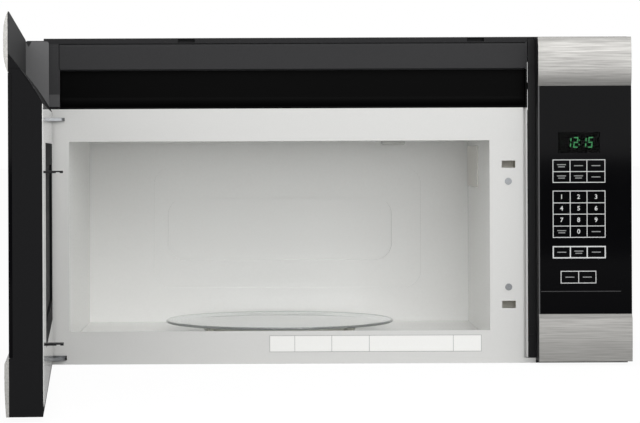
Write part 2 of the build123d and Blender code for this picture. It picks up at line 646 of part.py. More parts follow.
# ================================================================ microwave source and cooling
# Waveguide: a sheet box from the magnetron to the port in the right wall.
GUIDE_X = (CAVITY_X[1] + SHEET, 242.0)
GUIDE_Y = (-166.0, -44.0)
GUIDE_Z = (234.0, 284.0)
MAGNETRON_Y = -85.0
ANTENNA_R = 8.0
with BuildPart() as waveguide:
    slab(GUIDE_X, GUIDE_Y, GUIDE_Z)
    slab((GUIDE_X[0] - 1, GUIDE_X[1] - 1.2), (GUIDE_Y[0] + 1.2, GUIDE_Y[1] - 1.2),
         (GUIDE_Z[0] + 1.2, GUIDE_Z[1] - 1.2), Mode.SUBTRACT)
    rod((GUIDE_X[1] - 4, MAGNETRON_Y, FAN_Z), (GUIDE_X[1] + 1, MAGNETRON_Y, FAN_Z), 14,
        Mode.SUBTRACT)
write(waveguide, "waveguide")

with BuildPart() as magnetron:
    yoke_x = (GUIDE_X[1], GUIDE_X[1] + 64)
    slab(yoke_x, around(MAGNETRON_Y, 78), around(FAN_Z, 80))
    slab((yoke_x[0] + 2, yoke_x[1] - 2), around(MAGNETRON_Y, 100), around(FAN_Z, 74), Mode.SUBTRACT)
    rod((yoke_x[0] + 1, MAGNETRON_Y, FAN_Z), (yoke_x[1] + 18, MAGNETRON_Y, FAN_Z), 18)
    for count in range(8):
        x = yoke_x[0] + 11 + 6 * count
        slab((x, x + 1), around(MAGNETRON_Y, 76), around(FAN_Z, 74))
    slab((yoke_x[1], yoke_x[1] + 26), around(MAGNETRON_Y, 56), around(FAN_Z, 60))
    # the antenna dome is seated on the yoke, a seam away from it
    rod((GUIDE_X[1] - 24, MAGNETRON_Y, FAN_Z), (yoke_x[0] - SEAM, MAGNETRON_Y, FAN_Z), ANTENNA_R)
write(magnetron, "magnetron")

# Transformer: laminated core on the base plate, two windings round its middle leg.
CORE_X = (225.0, 325.0)
CORE_Y = (-118.0, -38.0)
CORE_Z = (SHEET, 81.0)
WINDOW_X = ((240.0, 258.0), (292.0, 310.0))
WINDOW_Z = (17.0, 65.0)
with BuildPart() as transformer_core:
    slab(CORE_X, CORE_Y, CORE_Z)
    for window in WINDOW_X:
        slab(window, (CORE_Y[0] - 1, CORE_Y[1] + 1), WINDOW_Z, Mode.SUBTRACT)
    slab((CORE_X[0] - 14, CORE_X[1] + 14), around(sum(CORE_Y) / 2, 60), (SHEET, SHEET + 2))
write(transformer_core, "transformer_core")

with BuildPart() as transformer_windings:
    for limits in ((WINDOW_Z[0] + 0.5, 38), (40.5, WINDOW_Z[1] - 0.5)):
        with BuildSketch(Plane.XY.offset(limits[0])):
            with Locations(((CORE_X[0] + CORE_X[1]) / 2, (CORE_Y[0] + CORE_Y[1]) / 2)):
                RectangleRounded(WINDOW_X[1][1] - WINDOW_X[0][0] - 1, 112, 14)
                Rectangle(
                    WINDOW_X[1][0] - WINDOW_X[0][1] + 1, CORE_Y[1] - CORE_Y[0] + 1,
                    mode=Mode.SUBTRACT,
                )
        extrude(amount=limits[1] - limits[0])
write(transformer_windings, "transformer_windings")

# Capacitor set: oval can, its strap clamp and the diode screwed to the clamp.
CAN_X = 356.0
CAN_Y = -120.0
with BuildPart() as hv_capacitor_set:
    with BuildSketch(Plane.XY.offset(SHEET)):
        with Locations((CAN_X, CAN_Y)):
            SlotOverall(52, 33, rotation=90)
    extrude(amount=92)
    for y in (CAN_Y - 12, CAN_Y + 12):
        slab(around(CAN_X, 1), around(y, 6), (90, 104))
    with BuildSketch(Plane.XY.offset(45)):
        with Locations((CAN_X, CAN_Y)):
            SlotOverall(55, 36, rotation=90)
    extrude(amount=12)
    slab(around(CAN_X, 14), (CAN_Y + 26, CAN_Y + 52), (45, 47))
    rod((CAN_X, CAN_Y + 38, 50), (CAN_X, CAN_Y + 62, 50), 3.5)
write(hv_capacitor_set, "hv_capacitor_set")

# Noise filter board: stands off the right wall of the case.
BOARD_T = 1.6
with BuildPart() as noise_filter_board:
    wall_x = HALF_W - SHEET
    slab((wall_x - 6 - BOARD_T, wall_x - 6), (-320, -230), (310, 390))
    for y in (-314, -236):
        for z in (316, 384):
            rod((wall_x - 6, y, z), (wall_x, y, z), 3)
    face_x = wall_x - 6 - BOARD_T
    rod((face_x - 16, -290, 345), (face_x, -290, 345), 13)
    slab((face_x - 14, face_x), (-270, -246), (330, 348))
    slab((face_x - 12, face_x), (-265, -250), (360, 380))
write(noise_filter_board, "noise_filter_board")

# Cooling fan: a square shroud ahead of the magnetron, motor on three struts, five blades.
SHROUD_Y = (-205.0, -180.0)
SHROUD_W = 110.0
FAN_R = 44.0
with BuildPart() as cooling_fan_frame:
    slab(around(FAN_X, SHROUD_W), SHROUD_Y, around(FAN_Z, SHROUD_W))
    rod((FAN_X, SHROUD_Y[0] - 1, FAN_Z), (FAN_X, SHROUD_Y[1] + 1, FAN_Z), FAN_R + 4, Mode.SUBTRACT)
    with BuildSketch(Plane(origin=(FAN_X, SHROUD_Y[0], FAN_Z), x_dir=(1, 0, 0), z_dir=(0, 1, 0))):
        Circle(20)
        with PolarLocations(34, 3):
            Rectangle(36, 8)
    extrude(amount=3)
    rod((FAN_X, SHROUD_Y[0] - 1, FAN_Z), (FAN_X, SHROUD_Y[0] + 4, FAN_Z), 4.5, Mode.SUBTRACT)
    slab((FAN_X + SHROUD_W / 2, HALF_W - SHEET), SHROUD_Y, around(FAN_Z, 30))
write(cooling_fan_frame, "cooling_fan_frame")

with BuildPart() as cooling_fan_motor:
    slab(around(FAN_X, 40), (SHROUD_Y[0] - 26, SHROUD_Y[0] - 8), around(FAN_Z, 50))
    rod((FAN_X, SHROUD_Y[0] - 32, FAN_Z), (FAN_X, SHROUD_Y[0], FAN_Z), 15)
    rod((FAN_X, SHROUD_Y[0] - 12, FAN_Z), (FAN_X, SHROUD_Y[0] + 1, FAN_Z), 2.6, Mode.SUBTRACT)
write(cooling_fan_motor, "cooling_fan_motor")

with BuildPart() as cooling_fan_blade:
    rod((FAN_X, SHROUD_Y[0] - 10, FAN_Z), (FAN_X, SHROUD_Y[0] + 8, FAN_Z), 2.5)
    rod((FAN_X, SHROUD_Y[0] + 5, FAN_Z), (FAN_X, SHROUD_Y[0] + 21, FAN_Z), 13)
    for turn in range(5):
        out = Vector(1, 0, 0).rotate(Axis.Y, 72 * turn)
        centre = Vector(FAN_X, SHROUD_Y[0] + 13, FAN_Z)
        with BuildSketch(Plane(origin=centre + out * 11, x_dir=(0, 1, 0), z_dir=out)):
            Rectangle(1.6, 20, rotation=55)
        extrude(amount=FAN_R - 11)
write(cooling_fan_blade, "cooling_fan_blade")

# ================================================================ underside
with BuildPart() as cooktop_lamp_cover:
    slab((LAMP_OPENING_X[0] + 0.2, LAMP_OPENING_X[1] - 0.2),
         (LAMP_OPENING_Y[0] + 0.2, LAMP_OPENING_Y[1] - 0.2), (0, 2.5))
    slab((LAMP_OPENING_X[0] - 6, LAMP_OPENING_X[1] + 6),
         (LAMP_OPENING_Y[0] - 6, LAMP_OPENING_Y[1] + 6), (SHEET, 2.5))
    with BuildSketch(Plane.XY.offset(1.6)):
        with Locations((0, (LAMP_OPENING_Y[0] + LAMP_OPENING_Y[1]) / 2)):
            with GridLocations(6, 1, 19, 1):
                Rectangle(3, 52)
    extrude(amount=1.5, mode=Mode.SUBTRACT)
write(cooktop_lamp_cover, "cooktop_lamp_cover")

LAMP_Y = (LAMP_OPENING_Y[0] + LAMP_OPENING_Y[1]) / 2
with BuildPart() as cooktop_lamps:
    for side in (-1, 1):
        slab(sorted((side * 50, side * 60)), around(LAMP_Y, 24), (6, CAVITY_Z[0] - SHEET))
        rod((side * 50, LAMP_Y, 16), (side * 14, LAMP_Y, 16), 9)
        with Locations((side * 14, LAMP_Y, 16)):
            Sphere(9)
write(cooktop_lamps, "cooktop_lamps")

# Grease filters: an aluminium mesh pad in a folded frame, one on each side, lifted out downwards.
for side, x in zip(("left", "right"), FILTER_CENTRES):
    with BuildPart() as grease_filter:
        slab(around(x, FILTER_SIZE[0]), around(FILTER_Y, FILTER_SIZE[1]), (0, FILTER_SIZE[2]))
        for face in (0, FILTER_SIZE[2] - 1):
            with BuildSketch(Plane.XY.offset(face)):
                with Locations((x, FILTER_Y)):
                    RectangleRounded(FILTER_SIZE[0] - 16, FILTER_SIZE[1] - 16, 4)
            extrude(amount=1, mode=Mode.SUBTRACT)
        slab(around(x, 24), around(FILTER_Y - FILTER_SIZE[1] / 2 + 12, 8), (0, 1))
    write(grease_filter, f"grease_filter_{side}")

# ================================================================ interlock
HOUSING_X = (212.0, 240.0)
HOUSING_Y = (PLATE_BACK, -318.0)
HOUSING_Z = (62.0, 274.0)
HOUSING_POCKET_Z = (108.0, 228.0)
HOUSING_RIB = 2.0
with BuildPart() as interlock_housing:
    slab(HOUSING_X, HOUSING_Y, HOUSING_Z)
    slab((HOUSING_X[0] + 3, HOUSING_X[1] - 3), (HOUSING_Y[0] + 8, HOUSING_Y[1] + 1),
         HOUSING_POCKET_Z, Mode.SUBTRACT)
    slab((HOUSING_X[0] + 1, HOUSING_X[1] - 1), (HOUSING_Y[0] + 7, HOUSING_Y[1]),
         around(sum(HOUSING_POCKET_Z) / 2, HOUSING_RIB))
    for z in SLOT_CENTRES:
        slab((SLOT_X[0] - 0.5, SLOT_X[1] + 0.5), (HOUSING_Y[0] - 1, HOUSING_Y[1] - 6),
             around(z, SLOT_H + 1.4), Mode.SUBTRACT)
    for z in LATCH_SCREWS:
        rod((LATCH_SCREW_X, HOUSING_Y[0] - 1, z), (LATCH_SCREW_X, HOUSING_Y[0] + 14, z), 1.9,
            Mode.SUBTRACT)
write(interlock_housing, "interlock_housing")

with BuildPart() as door_switches:
    for z in (243, 222, 96):
        slab((HOUSING_X[1], HOUSING_X[1] + 10), (-342, -318), around(z, 16))
        rod((HOUSING_X[1] + 5, -345, z), (HOUSING_X[1] + 5, -342, z), 2)
write(door_switches, "door_switches")

# Screws that hold the interlock housing, their flat heads on the front plate.
with BuildPart() as latch_housing_screws:
    for z in LATCH_SCREWS:
        rod((LATCH_SCREW_X, PLATE_Y - 1.1, z), (LATCH_SCREW_X, PLATE_Y, z), 4.5)
        rod((LATCH_SCREW_X, PLATE_Y, z), (LATCH_SCREW_X, PLATE_Y + 14, z), 1.9)
        slab(around(LATCH_SCREW_X, 5), (PLATE_Y - 1.2, PLATE_Y - 0.5), around(z, 0.9), Mode.SUBTRACT)
        slab(around(LATCH_SCREW_X, 0.9), (PLATE_Y - 1.2, PLATE_Y - 0.5), around(z, 5), Mode.SUBTRACT)
write(latch_housing_screws, "latch_housing_screws")

# ================================================================ control panel
GLASS_Z = (LOWER_BAND[1] + LOWER_BAND_CHAMFER + 0.2, UPPER_BAND[0] - 0.2)
GLASS_SEAT = FASCIA + GLASS_T + 0.2
MOULD_WALL = 3.0
WINDOW_DISPLAY_X = (285.5, 339.5)
WINDOW_DISPLAY_Z = (273.5, 300.5)
LEDGE_X = (251.0, PANEL_X[0] + 2.5)
LEDGE_Y = (PLATE_Y - 0.5, PLATE_BACK + 1)
LEDGE_BLOCKS = ((7.0, 376.0), (387.0, 418.0))  # the ledge is set back between and above these
LEDGE_SETBACK = 2.0
LEDGE_RIBS = (37.0, 47.3)
PANEL_BACK = PLATE_BACK - HINGE_Y  # measured through the fascia, like the door
with BuildPart() as control_panel_housing:
    with BuildSketch(PANEL_SIDE.offset(PANEL_X[0])):
        with BuildLine():
            first, last = fascia_front(GLASS_SEAT)
            Polyline(last, (PANEL_BACK, DOOR_BOTTOM), (PANEL_BACK, DOOR_TOP), first)
        make_face()
    extrude(amount=PANEL_X[1] - PANEL_X[0])
    slab(
        (PANEL_X[0] + 2.5, PANEL_X[1] - 2.5),
        (HINGE_Y + GLASS_SEAT + MOULD_WALL, PLATE_BACK + 1),
        (DOOR_BOTTOM + 2.5, DOOR_TOP - 2.5),
        Mode.SUBTRACT,
    )
    for limits in LEDGE_BLOCKS:
        slab(LEDGE_X, LEDGE_Y, limits)
    slab(LEDGE_X, (LEDGE_Y[0] + LEDGE_SETBACK, LEDGE_Y[1] + LEDGE_SETBACK),
         (LEDGE_BLOCKS[0][0], DOOR_TOP))
    for z in LEDGE_RIBS:
        slab((LEDGE_X[0] + 1, PANEL_X[0] - 1), (LEDGE_Y[0] - 0.6, LEDGE_Y[0] + 1), around(z, 0.9))
    slab(
        (WINDOW_DISPLAY_X[0] - 2, WINDOW_DISPLAY_X[1] + 2),
        (HINGE_Y + FASCIA, HINGE_Y + GLASS_SEAT + MOULD_WALL + 1),
        (WINDOW_DISPLAY_Z[0] - 2, WINDOW_DISPLAY_Z[1] + 2),
        Mode.SUBTRACT,
    )
write(control_panel_housing, "control_panel_housing")

with BuildPart() as panel_top_band:
    upper_band(PANEL_SIDE.offset(PANEL_X[0]), PANEL_X[1] - PANEL_X[0])
write(panel_top_band, "panel_top_band")

with BuildPart() as panel_bottom_band:
    lower_band(PANEL_SIDE.offset(PANEL_X[0]), PANEL_X[1] - PANEL_X[0])
write(panel_bottom_band, "panel_bottom_band")

GLASS_Y = (HINGE_Y + FASCIA, HINGE_Y + FASCIA + GLASS_T)
with BuildPart() as panel_glass:
    slab(PANEL_X, GLASS_Y, GLASS_Z)
    slab(WINDOW_DISPLAY_X, (GLASS_Y[0] - 1, GLASS_Y[1] + 1), WINDOW_DISPLAY_Z, Mode.SUBTRACT)
write(panel_glass, "panel_glass")

with BuildPart() as display_window:
    slab(WINDOW_DISPLAY_X, GLASS_Y, WINDOW_DISPLAY_Z)
write(display_window, "display_window")

WALL_BEHIND_GLASS = HINGE_Y + GLASS_SEAT + MOULD_WALL
with BuildPart() as display_module:
    slab((283, 342), (WALL_BEHIND_GLASS, WALL_BEHIND_GLASS + 8), (271, 303))
    slab((285, 340), (GLASS_Y[1] + 0.4, WALL_BEHIND_GLASS), (273, 301))
write(display_module, "display_module")

BOARD_Y = -372.0
with BuildPart() as control_board:
    slab((266, 374), (BOARD_Y, BOARD_Y + BOARD_T), (90, 330))
    for x in (271, 369):
        for z in (95, 210, 325):
            rod((x, WALL_BEHIND_GLASS, z), (x, BOARD_Y, z), 3)
    board_back = BOARD_Y + BOARD_T
    slab((285, 325), (board_back, board_back + 28), (110, 145))
    for x in (280, 304, 328):
        slab((x, x + 18), (board_back, board_back + 16), (170, 192))
    for z in (240, 260):
        rod((345, board_back, z), (345, board_back + 18, z), 6)
write(control_board, "control_board")

# ================================================================ hinges
PIN_R = 3.0
PIN_CLEARANCE = 0.08
BUSH_R = 4.5  # leaves a wall between the bush and the seat of the inner pan
UPPER_BUSH_Z = (300.0, 315.4)
LOWER_BUSH_Z = (13.0, 28.0)
HINGE_FLANGE_Z = ((300.0, 331.0), (2.0, 34.0))
HINGE_FLANGE_BACK = -352.0


def hinge_bracket(leaf_z):
    """A leaf that reaches through the front plate, welded to a flange behind it."""
    with BuildSketch(Plane.XY.offset(leaf_z)) as outline:
        with BuildLine():
            Polyline(
                (HINGE_LEAF_X[0], HINGE_FLANGE_BACK),
                (HINGE_LEAF_X[0], HINGE_Y),
            )
            ThreePointArc(
                (HINGE_LEAF_X[0], HINGE_Y),
                (HINGE_X, HINGE_Y - (HINGE_X - HINGE_LEAF_X[0])),
                (HINGE_X + 4, HINGE_Y - 1),
            )
            Line((HINGE_X + 4, HINGE_Y - 1), (HINGE_LEAF_X[1] - 5, HINGE_Y + 1.5))
            ThreePointArc(
                (HINGE_LEAF_X[1] - 5, HINGE_Y + 1.5),
                (HINGE_LEAF_X[1] - 1.5, HINGE_Y + 3),
                (HINGE_LEAF_X[1], HINGE_Y + 6.5),
            )
            Polyline((HINGE_LEAF_X[1], HINGE_Y + 6.5), (HINGE_LEAF_X[1], HINGE_FLANGE_BACK),
                     (HINGE_LEAF_X[0], HINGE_FLANGE_BACK))
        make_face()
    extrude(outline.sketch, amount=HINGE_LEAF_T)


with BuildPart() as hinge_brackets:
    for leaf_z, flange_z in zip(HINGE_LEAF_Z, HINGE_FLANGE_Z):
        hinge_bracket(leaf_z)
        slab(HINGE_LEAF_X, (PLATE_BACK, HINGE_FLANGE_BACK), flange_z)
        rod((HINGE_X, HINGE_Y, leaf_z - 1), (HINGE_X, HINGE_Y, leaf_z + HINGE_LEAF_T + 1), PIN_R,
            Mode.SUBTRACT)
write(hinge_brackets, "hinge_brackets")

with BuildPart() as hinge_pins:
    rod((HINGE_X, HINGE_Y, UPPER_BUSH_Z[0] + 1), (HINGE_X, HINGE_Y, HINGE_LEAF_Z[0] + HINGE_LEAF_T),
        PIN_R)
    rod((HINGE_X, HINGE_Y, HINGE_LEAF_Z[0] + HINGE_LEAF_T),
        (HINGE_X, HINGE_Y, HINGE_LEAF_Z[0] + HINGE_LEAF_T + 1), PIN_R + 1)
    rod((HINGE_X, HINGE_Y, HINGE_LEAF_Z[1]), (HINGE_X, HINGE_Y, LOWER_BUSH_Z[1] - 1), PIN_R)
write(hinge_pins, "hinge_pins")

with BuildPart(DOOR) as hinge_bushes:
    for limits in (UPPER_BUSH_Z, LOWER_BUSH_Z):
        rod((0, 0, limits[0]), (0, 0, limits[1]), BUSH_R)
        rod((0, 0, limits[0] - 1), (0, 0, limits[1] + 1), PIN_R + PIN_CLEARANCE, Mode.SUBTRACT)
write(hinge_bushes, "hinge_bushes")

# ================================================================ door
# Sizes here run along the door from the hinge axis, then through the door, then up.
FIN_BACK = -28.5
FIN_FOOT_Z = 378.5
SLOPE_MIDDLE = (-10.5, 355.0)
SLOPE_FOOT_Z = 330.0
SEAM_DEPTH = 0.5
SEAM_W = 0.6
PAN_SEAT = DOOR_INNER - SHEET
FRAME_WALL = 2.5
NOTCH_U = (DOOR_LEFT - 1, 26.0)
UPPER_NOTCH_Z = (315.4, 324.0)
LOWER_NOTCH_Z = (4.0, 13.0)
WINDOW_U = (60.0, 500.0)
WINDOW_Z = (64.0, 288.0)
LATCH_U = (594.0, 606.0)
HINGE_CORNER_R = 5.95
SPRING_TURNS = 7
SPRING_R = 5.0
SPRING_WIRE_R = 0.6
SPRING_U = 612.0
SPRING_V = -10.0
SPRING_Z = (183.7, 215.5)
SPRING_GAP = 0.1
LEDGE_T = 4.0
END_WALL_T = 1.5
END_WALL_V = 1.5  # inner face of the wall that closes the air channel at the hinge end
END_WALL_TOP = 422.0
PAN_U = (-2.0, 629.0)
PAN_Z = (14.0, 328.0)
PAN_CORNER_R = 12.0
VIEW_INSET = 10.0  # the frame's window is this much smaller than the pan's on each side
CHOKE_REACH = 8.0  # the choke walls stand this far outside the pan's window
CHOKE_FOOT = GLASS_SEAT + MOULD_WALL
LIP_OVERLAP = 2.0


def slope_line():
    """The door's sloping top, from the foot of the fin down to the inner face."""
    return ThreePointArc((FIN_BACK, FIN_FOOT_Z), SLOPE_MIDDLE, (PAN_SEAT, SLOPE_FOOT_Z))


def channel_end(start, thick, top, notch):
    """A plate across the air channel over the sloping top; notch is cut beside the fin."""
    with BuildSketch(DOOR_SIDE.offset(start)) as section:
        with BuildLine():
            slope = slope_line()
            Polyline(
                slope @ 0,
                (FIN_BACK, top),
                (FIN_BACK + notch / 2 + 0.4, top - notch),
                (FIN_BACK + notch + 0.8, top),
                (END_WALL_V - 3, top),
            )
            ThreePointArc(
                (END_WALL_V - 3, top), (END_WALL_V - 0.9, top - 0.9), (END_WALL_V, top - 3)
            )
            Polyline((END_WALL_V, top - 3), (END_WALL_V, SLOPE_FOOT_Z + 2), slope @ 1)
        make_face()
    extrude(section.sketch, amount=thick)


with BuildPart(DOOR) as door_frame:
    with BuildSketch(DOOR_SIDE.offset(DOOR_LEFT)):
        with BuildLine():
            first, last = fascia_front(GLASS_SEAT)
            Polyline(
                last,
                (PAN_SEAT, DOOR_BOTTOM),
                (PAN_SEAT, SLOPE_FOOT_Z),
            )
            slope = slope_line()
            Polyline(slope @ 0, (FIN_BACK, DOOR_TOP), first)
        make_face()
    extrude(amount=DOOR_LENGTH)
    hollow_u = (DOOR_LEFT + FRAME_WALL, DOOR_RIGHT - FRAME_WALL)
    front_wall = GLASS_SEAT + MOULD_WALL
    slab(hollow_u, (front_wall, DOOR_INNER + 1), (DOOR_BOTTOM + FRAME_WALL, 326), Mode.SUBTRACT)
    with BuildSketch(DOOR_SIDE.offset(hollow_u[0])):
        with BuildLine():
            Polyline(
                (front_wall, 325),
                (front_wall, 367),
                (PAN_SEAT - 2.8, SLOPE_FOOT_Z),
                (PAN_SEAT - 2.8, 325),
                close=True,
            )
        make_face()
    extrude(amount=hollow_u[1] - hollow_u[0], mode=Mode.SUBTRACT)
    # lip behind the lower edge of the inner pan, deeper where the pan's corner is rounded
    lip_v = (PAN_SEAT - FRAME_WALL, PAN_SEAT)
    slab((DOOR_LEFT, DOOR_RIGHT), lip_v, (DOOR_BOTTOM, PAN_Z[0] + LIP_OVERLAP))
    slab((PAN_U[1] - PAN_CORNER_R - LIP_OVERLAP, DOOR_RIGHT), lip_v,
         (DOOR_BOTTOM, PAN_Z[0] + PAN_CORNER_R + LIP_OVERLAP))
    channel_end(DOOR_LEFT, END_WALL_T, END_WALL_TOP, 1)
    # seats of the folded ends of the steel bands
    end_u = (DOOR_RIGHT - BAND_SHEET - 0.1, DOOR_RIGHT + 1)
    end_v = (UPPER_CROWN - 1, FASCIA + 0.1)
    slab(end_u, end_v, (UPPER_BAND[0] - 0.1, UPPER_BAND[1] + 1), Mode.SUBTRACT)
    slab(end_u, end_v, (LOWER_BAND[0] - 1, LOWER_BAND[1] + LOWER_BAND_CHAMFER + 0.1), Mode.SUBTRACT)
    # moulding seam on the free end
    with BuildSketch(DOOR_SIDE.offset(DOOR_RIGHT - SEAM_DEPTH)):
        with BuildLine():
            Polyline(
                (FIN_BACK - 2, 364 + SEAM_W),
                (-17.9, 364 + SEAM_W),
                (1.0 + SEAM_W, 335.5),
                (1.0, 335.5),
                (-18.2, 364),
                (FIN_BACK - 2, 364),
                close=True,
            )
        make_face()
    extrude(amount=SEAM_DEPTH + 1, mode=Mode.SUBTRACT)
    slab((WINDOW_U[0] + VIEW_INSET, WINDOW_U[1] - VIEW_INSET), (FASCIA, front_wall + 1),
         (WINDOW_Z[0] + VIEW_INSET, WINDOW_Z[1] - VIEW_INSET), Mode.SUBTRACT)
    for limits in (UPPER_BUSH_Z, LOWER_BUSH_Z):
        slab((DOOR_LEFT, 16), (-12, PAN_SEAT), limits)
        slab((DOOR_LEFT, 16), (front_wall - 1, -11), limits)
        rod((0, 0, limits[0] - 1), (0, 0, limits[1] + 1), BUSH_R, Mode.SUBTRACT)
    for limits in (UPPER_NOTCH_Z, LOWER_NOTCH_Z):
        slab(NOTCH_U, (-8, DOOR_INNER + 1), limits, Mode.SUBTRACT)
    # ledge over the latch spring, out from the free-end wall
    ledge_z = SPRING_Z[1] + SPRING_WIRE_R + SPRING_GAP
    slab((SPRING_U - 6, DOOR_RIGHT - 1), (front_wall - 1, SPRING_V + 6),
         (ledge_z, ledge_z + LEDGE_T))
    # the edge next to the hinge is rounded about the hinge axis
    with BuildSketch(DOOR):
        with Locations(((DOOR_LEFT - 1) / 2, (DOOR_INNER + 1) / 2)):
            Rectangle(1 - DOOR_LEFT, DOOR_INNER + 1)
        Circle(HINGE_CORNER_R, mode=Mode.SUBTRACT)
    extrude(amount=DOOR_TOP, mode=Mode.SUBTRACT)
write(door_frame, "door_frame")

# Inner pan: white sheet that faces the oven, with the window opening and slots for the hooks.
with BuildPart(DOOR) as door_inner_pan:
    slab(PAN_U, (PAN_SEAT, DOOR_INNER), PAN_Z)
    fillet(
        door_inner_pan.edges().filter_by(Axis(DOOR.origin, DOOR.y_dir)).group_by(Axis.Z)[0]
        .sort_by(Axis.Y)[:1],
        PAN_CORNER_R,
    )
    slab(WINDOW_U, (PAN_SEAT - 1, DOOR_INNER + 1), WINDOW_Z, Mode.SUBTRACT)
    for z in HOOK_CENTRES:
        slab((LATCH_U[0] - 1.5, LATCH_U[1] + 1.5), (PAN_SEAT - 1, DOOR_INNER + 1),
             (z - 3.5, z + 4.5), Mode.SUBTRACT)
    slab(NOTCH_U, (PAN_SEAT - 1, DOOR_INNER + 1), UPPER_NOTCH_Z, Mode.SUBTRACT)
    # walls of the choke channel round the window
    for reach, start, mode in (
        (CHOKE_REACH, CHOKE_FOOT, Mode.ADD),
        (CHOKE_REACH - SHEET, CHOKE_FOOT - 1, Mode.SUBTRACT),
    ):
        slab((WINDOW_U[0] - reach, WINDOW_U[1] + reach), (start, PAN_SEAT),
             (WINDOW_Z[0] - reach, WINDOW_Z[1] + reach), mode)
write(door_inner_pan, "door_inner_pan")

# Choke cover: black plastic frame that closes the channel round the window.
COVER_RIM = 26.0
with BuildPart(DOOR) as door_choke_cover:
    slab((WINDOW_U[0] + 0.3, WINDOW_U[1] - 0.3), (PAN_SEAT - 2, DOOR_INNER),
         (WINDOW_Z[0] + 0.3, WINDOW_Z[1] - 0.3))
    slab((WINDOW_U[0] - 6, WINDOW_U[1] + 6), (PAN_SEAT - 2, PAN_SEAT),
         (WINDOW_Z[0] - 6, WINDOW_Z[1] + 6))
    slab((WINDOW_U[0] + COVER_RIM, WINDOW_U[1] - COVER_RIM), (PAN_SEAT - 3, DOOR_INNER + 1),
         (WINDOW_Z[0] + COVER_RIM, WINDOW_Z[1] - COVER_RIM), Mode.SUBTRACT)
write(door_choke_cover, "door_choke_cover")

# Screen: the perforated steel sheet behind the window; its holes are too fine to draw.
with BuildPart(DOOR) as door_screen:
    slab((WINDOW_U[0] + COVER_RIM - 10, WINDOW_U[1] - COVER_RIM + 10), (PAN_SEAT - 2.8, PAN_SEAT - 2),
         (WINDOW_Z[0] + COVER_RIM - 10, WINDOW_Z[1] - COVER_RIM + 10))
write(door_screen, "door_screen")

with BuildPart(DOOR) as door_glass:
    slab((DOOR_LEFT, DOOR_RIGHT), (FASCIA, FASCIA + GLASS_T), GLASS_Z)
write(door_glass, "door_glass")

with BuildPart() as door_top_band:
    upper_band(DOOR_SIDE.offset(DOOR_LEFT), DOOR_LENGTH)
    upper_band_end(DOOR_SIDE.offset(DOOR_RIGHT))
write(door_top_band, "door_top_band")

with BuildPart() as door_bottom_band:
    lower_band(DOOR_SIDE.offset(DOOR_LEFT), DOOR_LENGTH)
    lower_band_end(DOOR_SIDE.offset(DOOR_RIGHT))
write(door_bottom_band, "door_bottom_band")

# End cap: grey plate in front of the wall that closes the air channel at the hinge end.
CAP_T = 3.0
CAP_STEP_Z = 366.5
CAP_STEP = 0.4
with BuildPart() as door_end_cap:
    cap_start = DOOR_LEFT + END_WALL_T
    channel_end(cap_start, CAP_T + CAP_STEP, END_WALL_TOP - 1, 7)
    with BuildSketch(DOOR_SIDE.offset(cap_start + CAP_T)):
        with Locations(((FIN_BACK + DOOR_INNER) / 2, (CAP_STEP_Z + DOOR_TOP) / 2)):
            Rectangle(DOOR_INNER - FIN_BACK + 2, DOOR_TOP - CAP_STEP_Z)
    extrude(amount=CAP_STEP + 1, mode=Mode.SUBTRACT)
write(door_end_cap, "door_end_cap")

# Latch slide: two hooks on one bar that rides up against its spring.
BAR_U = (597.0, 603.0)
COLLAR_T = 3.0
HOOK_T = 2.4
with BuildPart(DOOR) as latch_slide:
    slab(BAR_U, (-14, -6), (60, 282))
    for z in HOOK_CENTRES:
        slab(LATCH_U, (-14, 26), around(z, HOOK_T))
        slab(LATCH_U, (18.5, 22.5), (z - HOOK_T, z - HOOK_T / 2 + 0.9), Mode.SUBTRACT)
        slab(BAR_U, (-14, -2), around(z, 12))
    collar_top = SPRING_Z[0] - SPRING_WIRE_R - SPRING_GAP
    slab((BAR_U[0], SPRING_U + SPRING_R), (-14, -6), (collar_top - COLLAR_T, collar_top))
write(latch_slide, "latch_slide")

# Latch spring: a coil that presses the slide's collar down from a ledge of the frame.
with BuildPart() as latch_spring:
    coil_base = DOOR.from_local_coords(Vector(SPRING_U, SPRING_V, SPRING_Z[0]))
    with BuildLine() as coil:
        Helix(
            pitch=(SPRING_Z[1] - SPRING_Z[0]) / SPRING_TURNS,
            height=SPRING_Z[1] - SPRING_Z[0],
            radius=SPRING_R,
            center=coil_base,
        )
    with BuildSketch(Plane(origin=coil.line @ 0, z_dir=coil.line % 0)):
        Circle(SPRING_WIRE_R)
    sweep(path=coil.line)
write(latch_spring, "latch_spring")

# The least gap between neighbouring turns, measured on points of the coil's line.
COIL_STEPS = 24 * SPRING_TURNS
coil_points = [coil.line @ (step / COIL_STEPS) for step in range(COIL_STEPS + 1)]
coil_gap = min(
    (coil_points[late] - coil_points[early]).length
    for early in range(COIL_STEPS)
    for late in range(early + COIL_STEPS // (2 * SPRING_TURNS), COIL_STEPS + 1)
) - 2 * SPRING_WIRE_R
print(f"latch spring: least gap between turns {coil_gap:.2f} mm")
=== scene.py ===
"""Over-the-range microwave oven with its door standing open: finishes, printed marks and studio."""
import logging
import math
from dataclasses import dataclass, field, replace
from enum import Enum

import bmesh
import bpy
from mathutils import Matrix, Vector


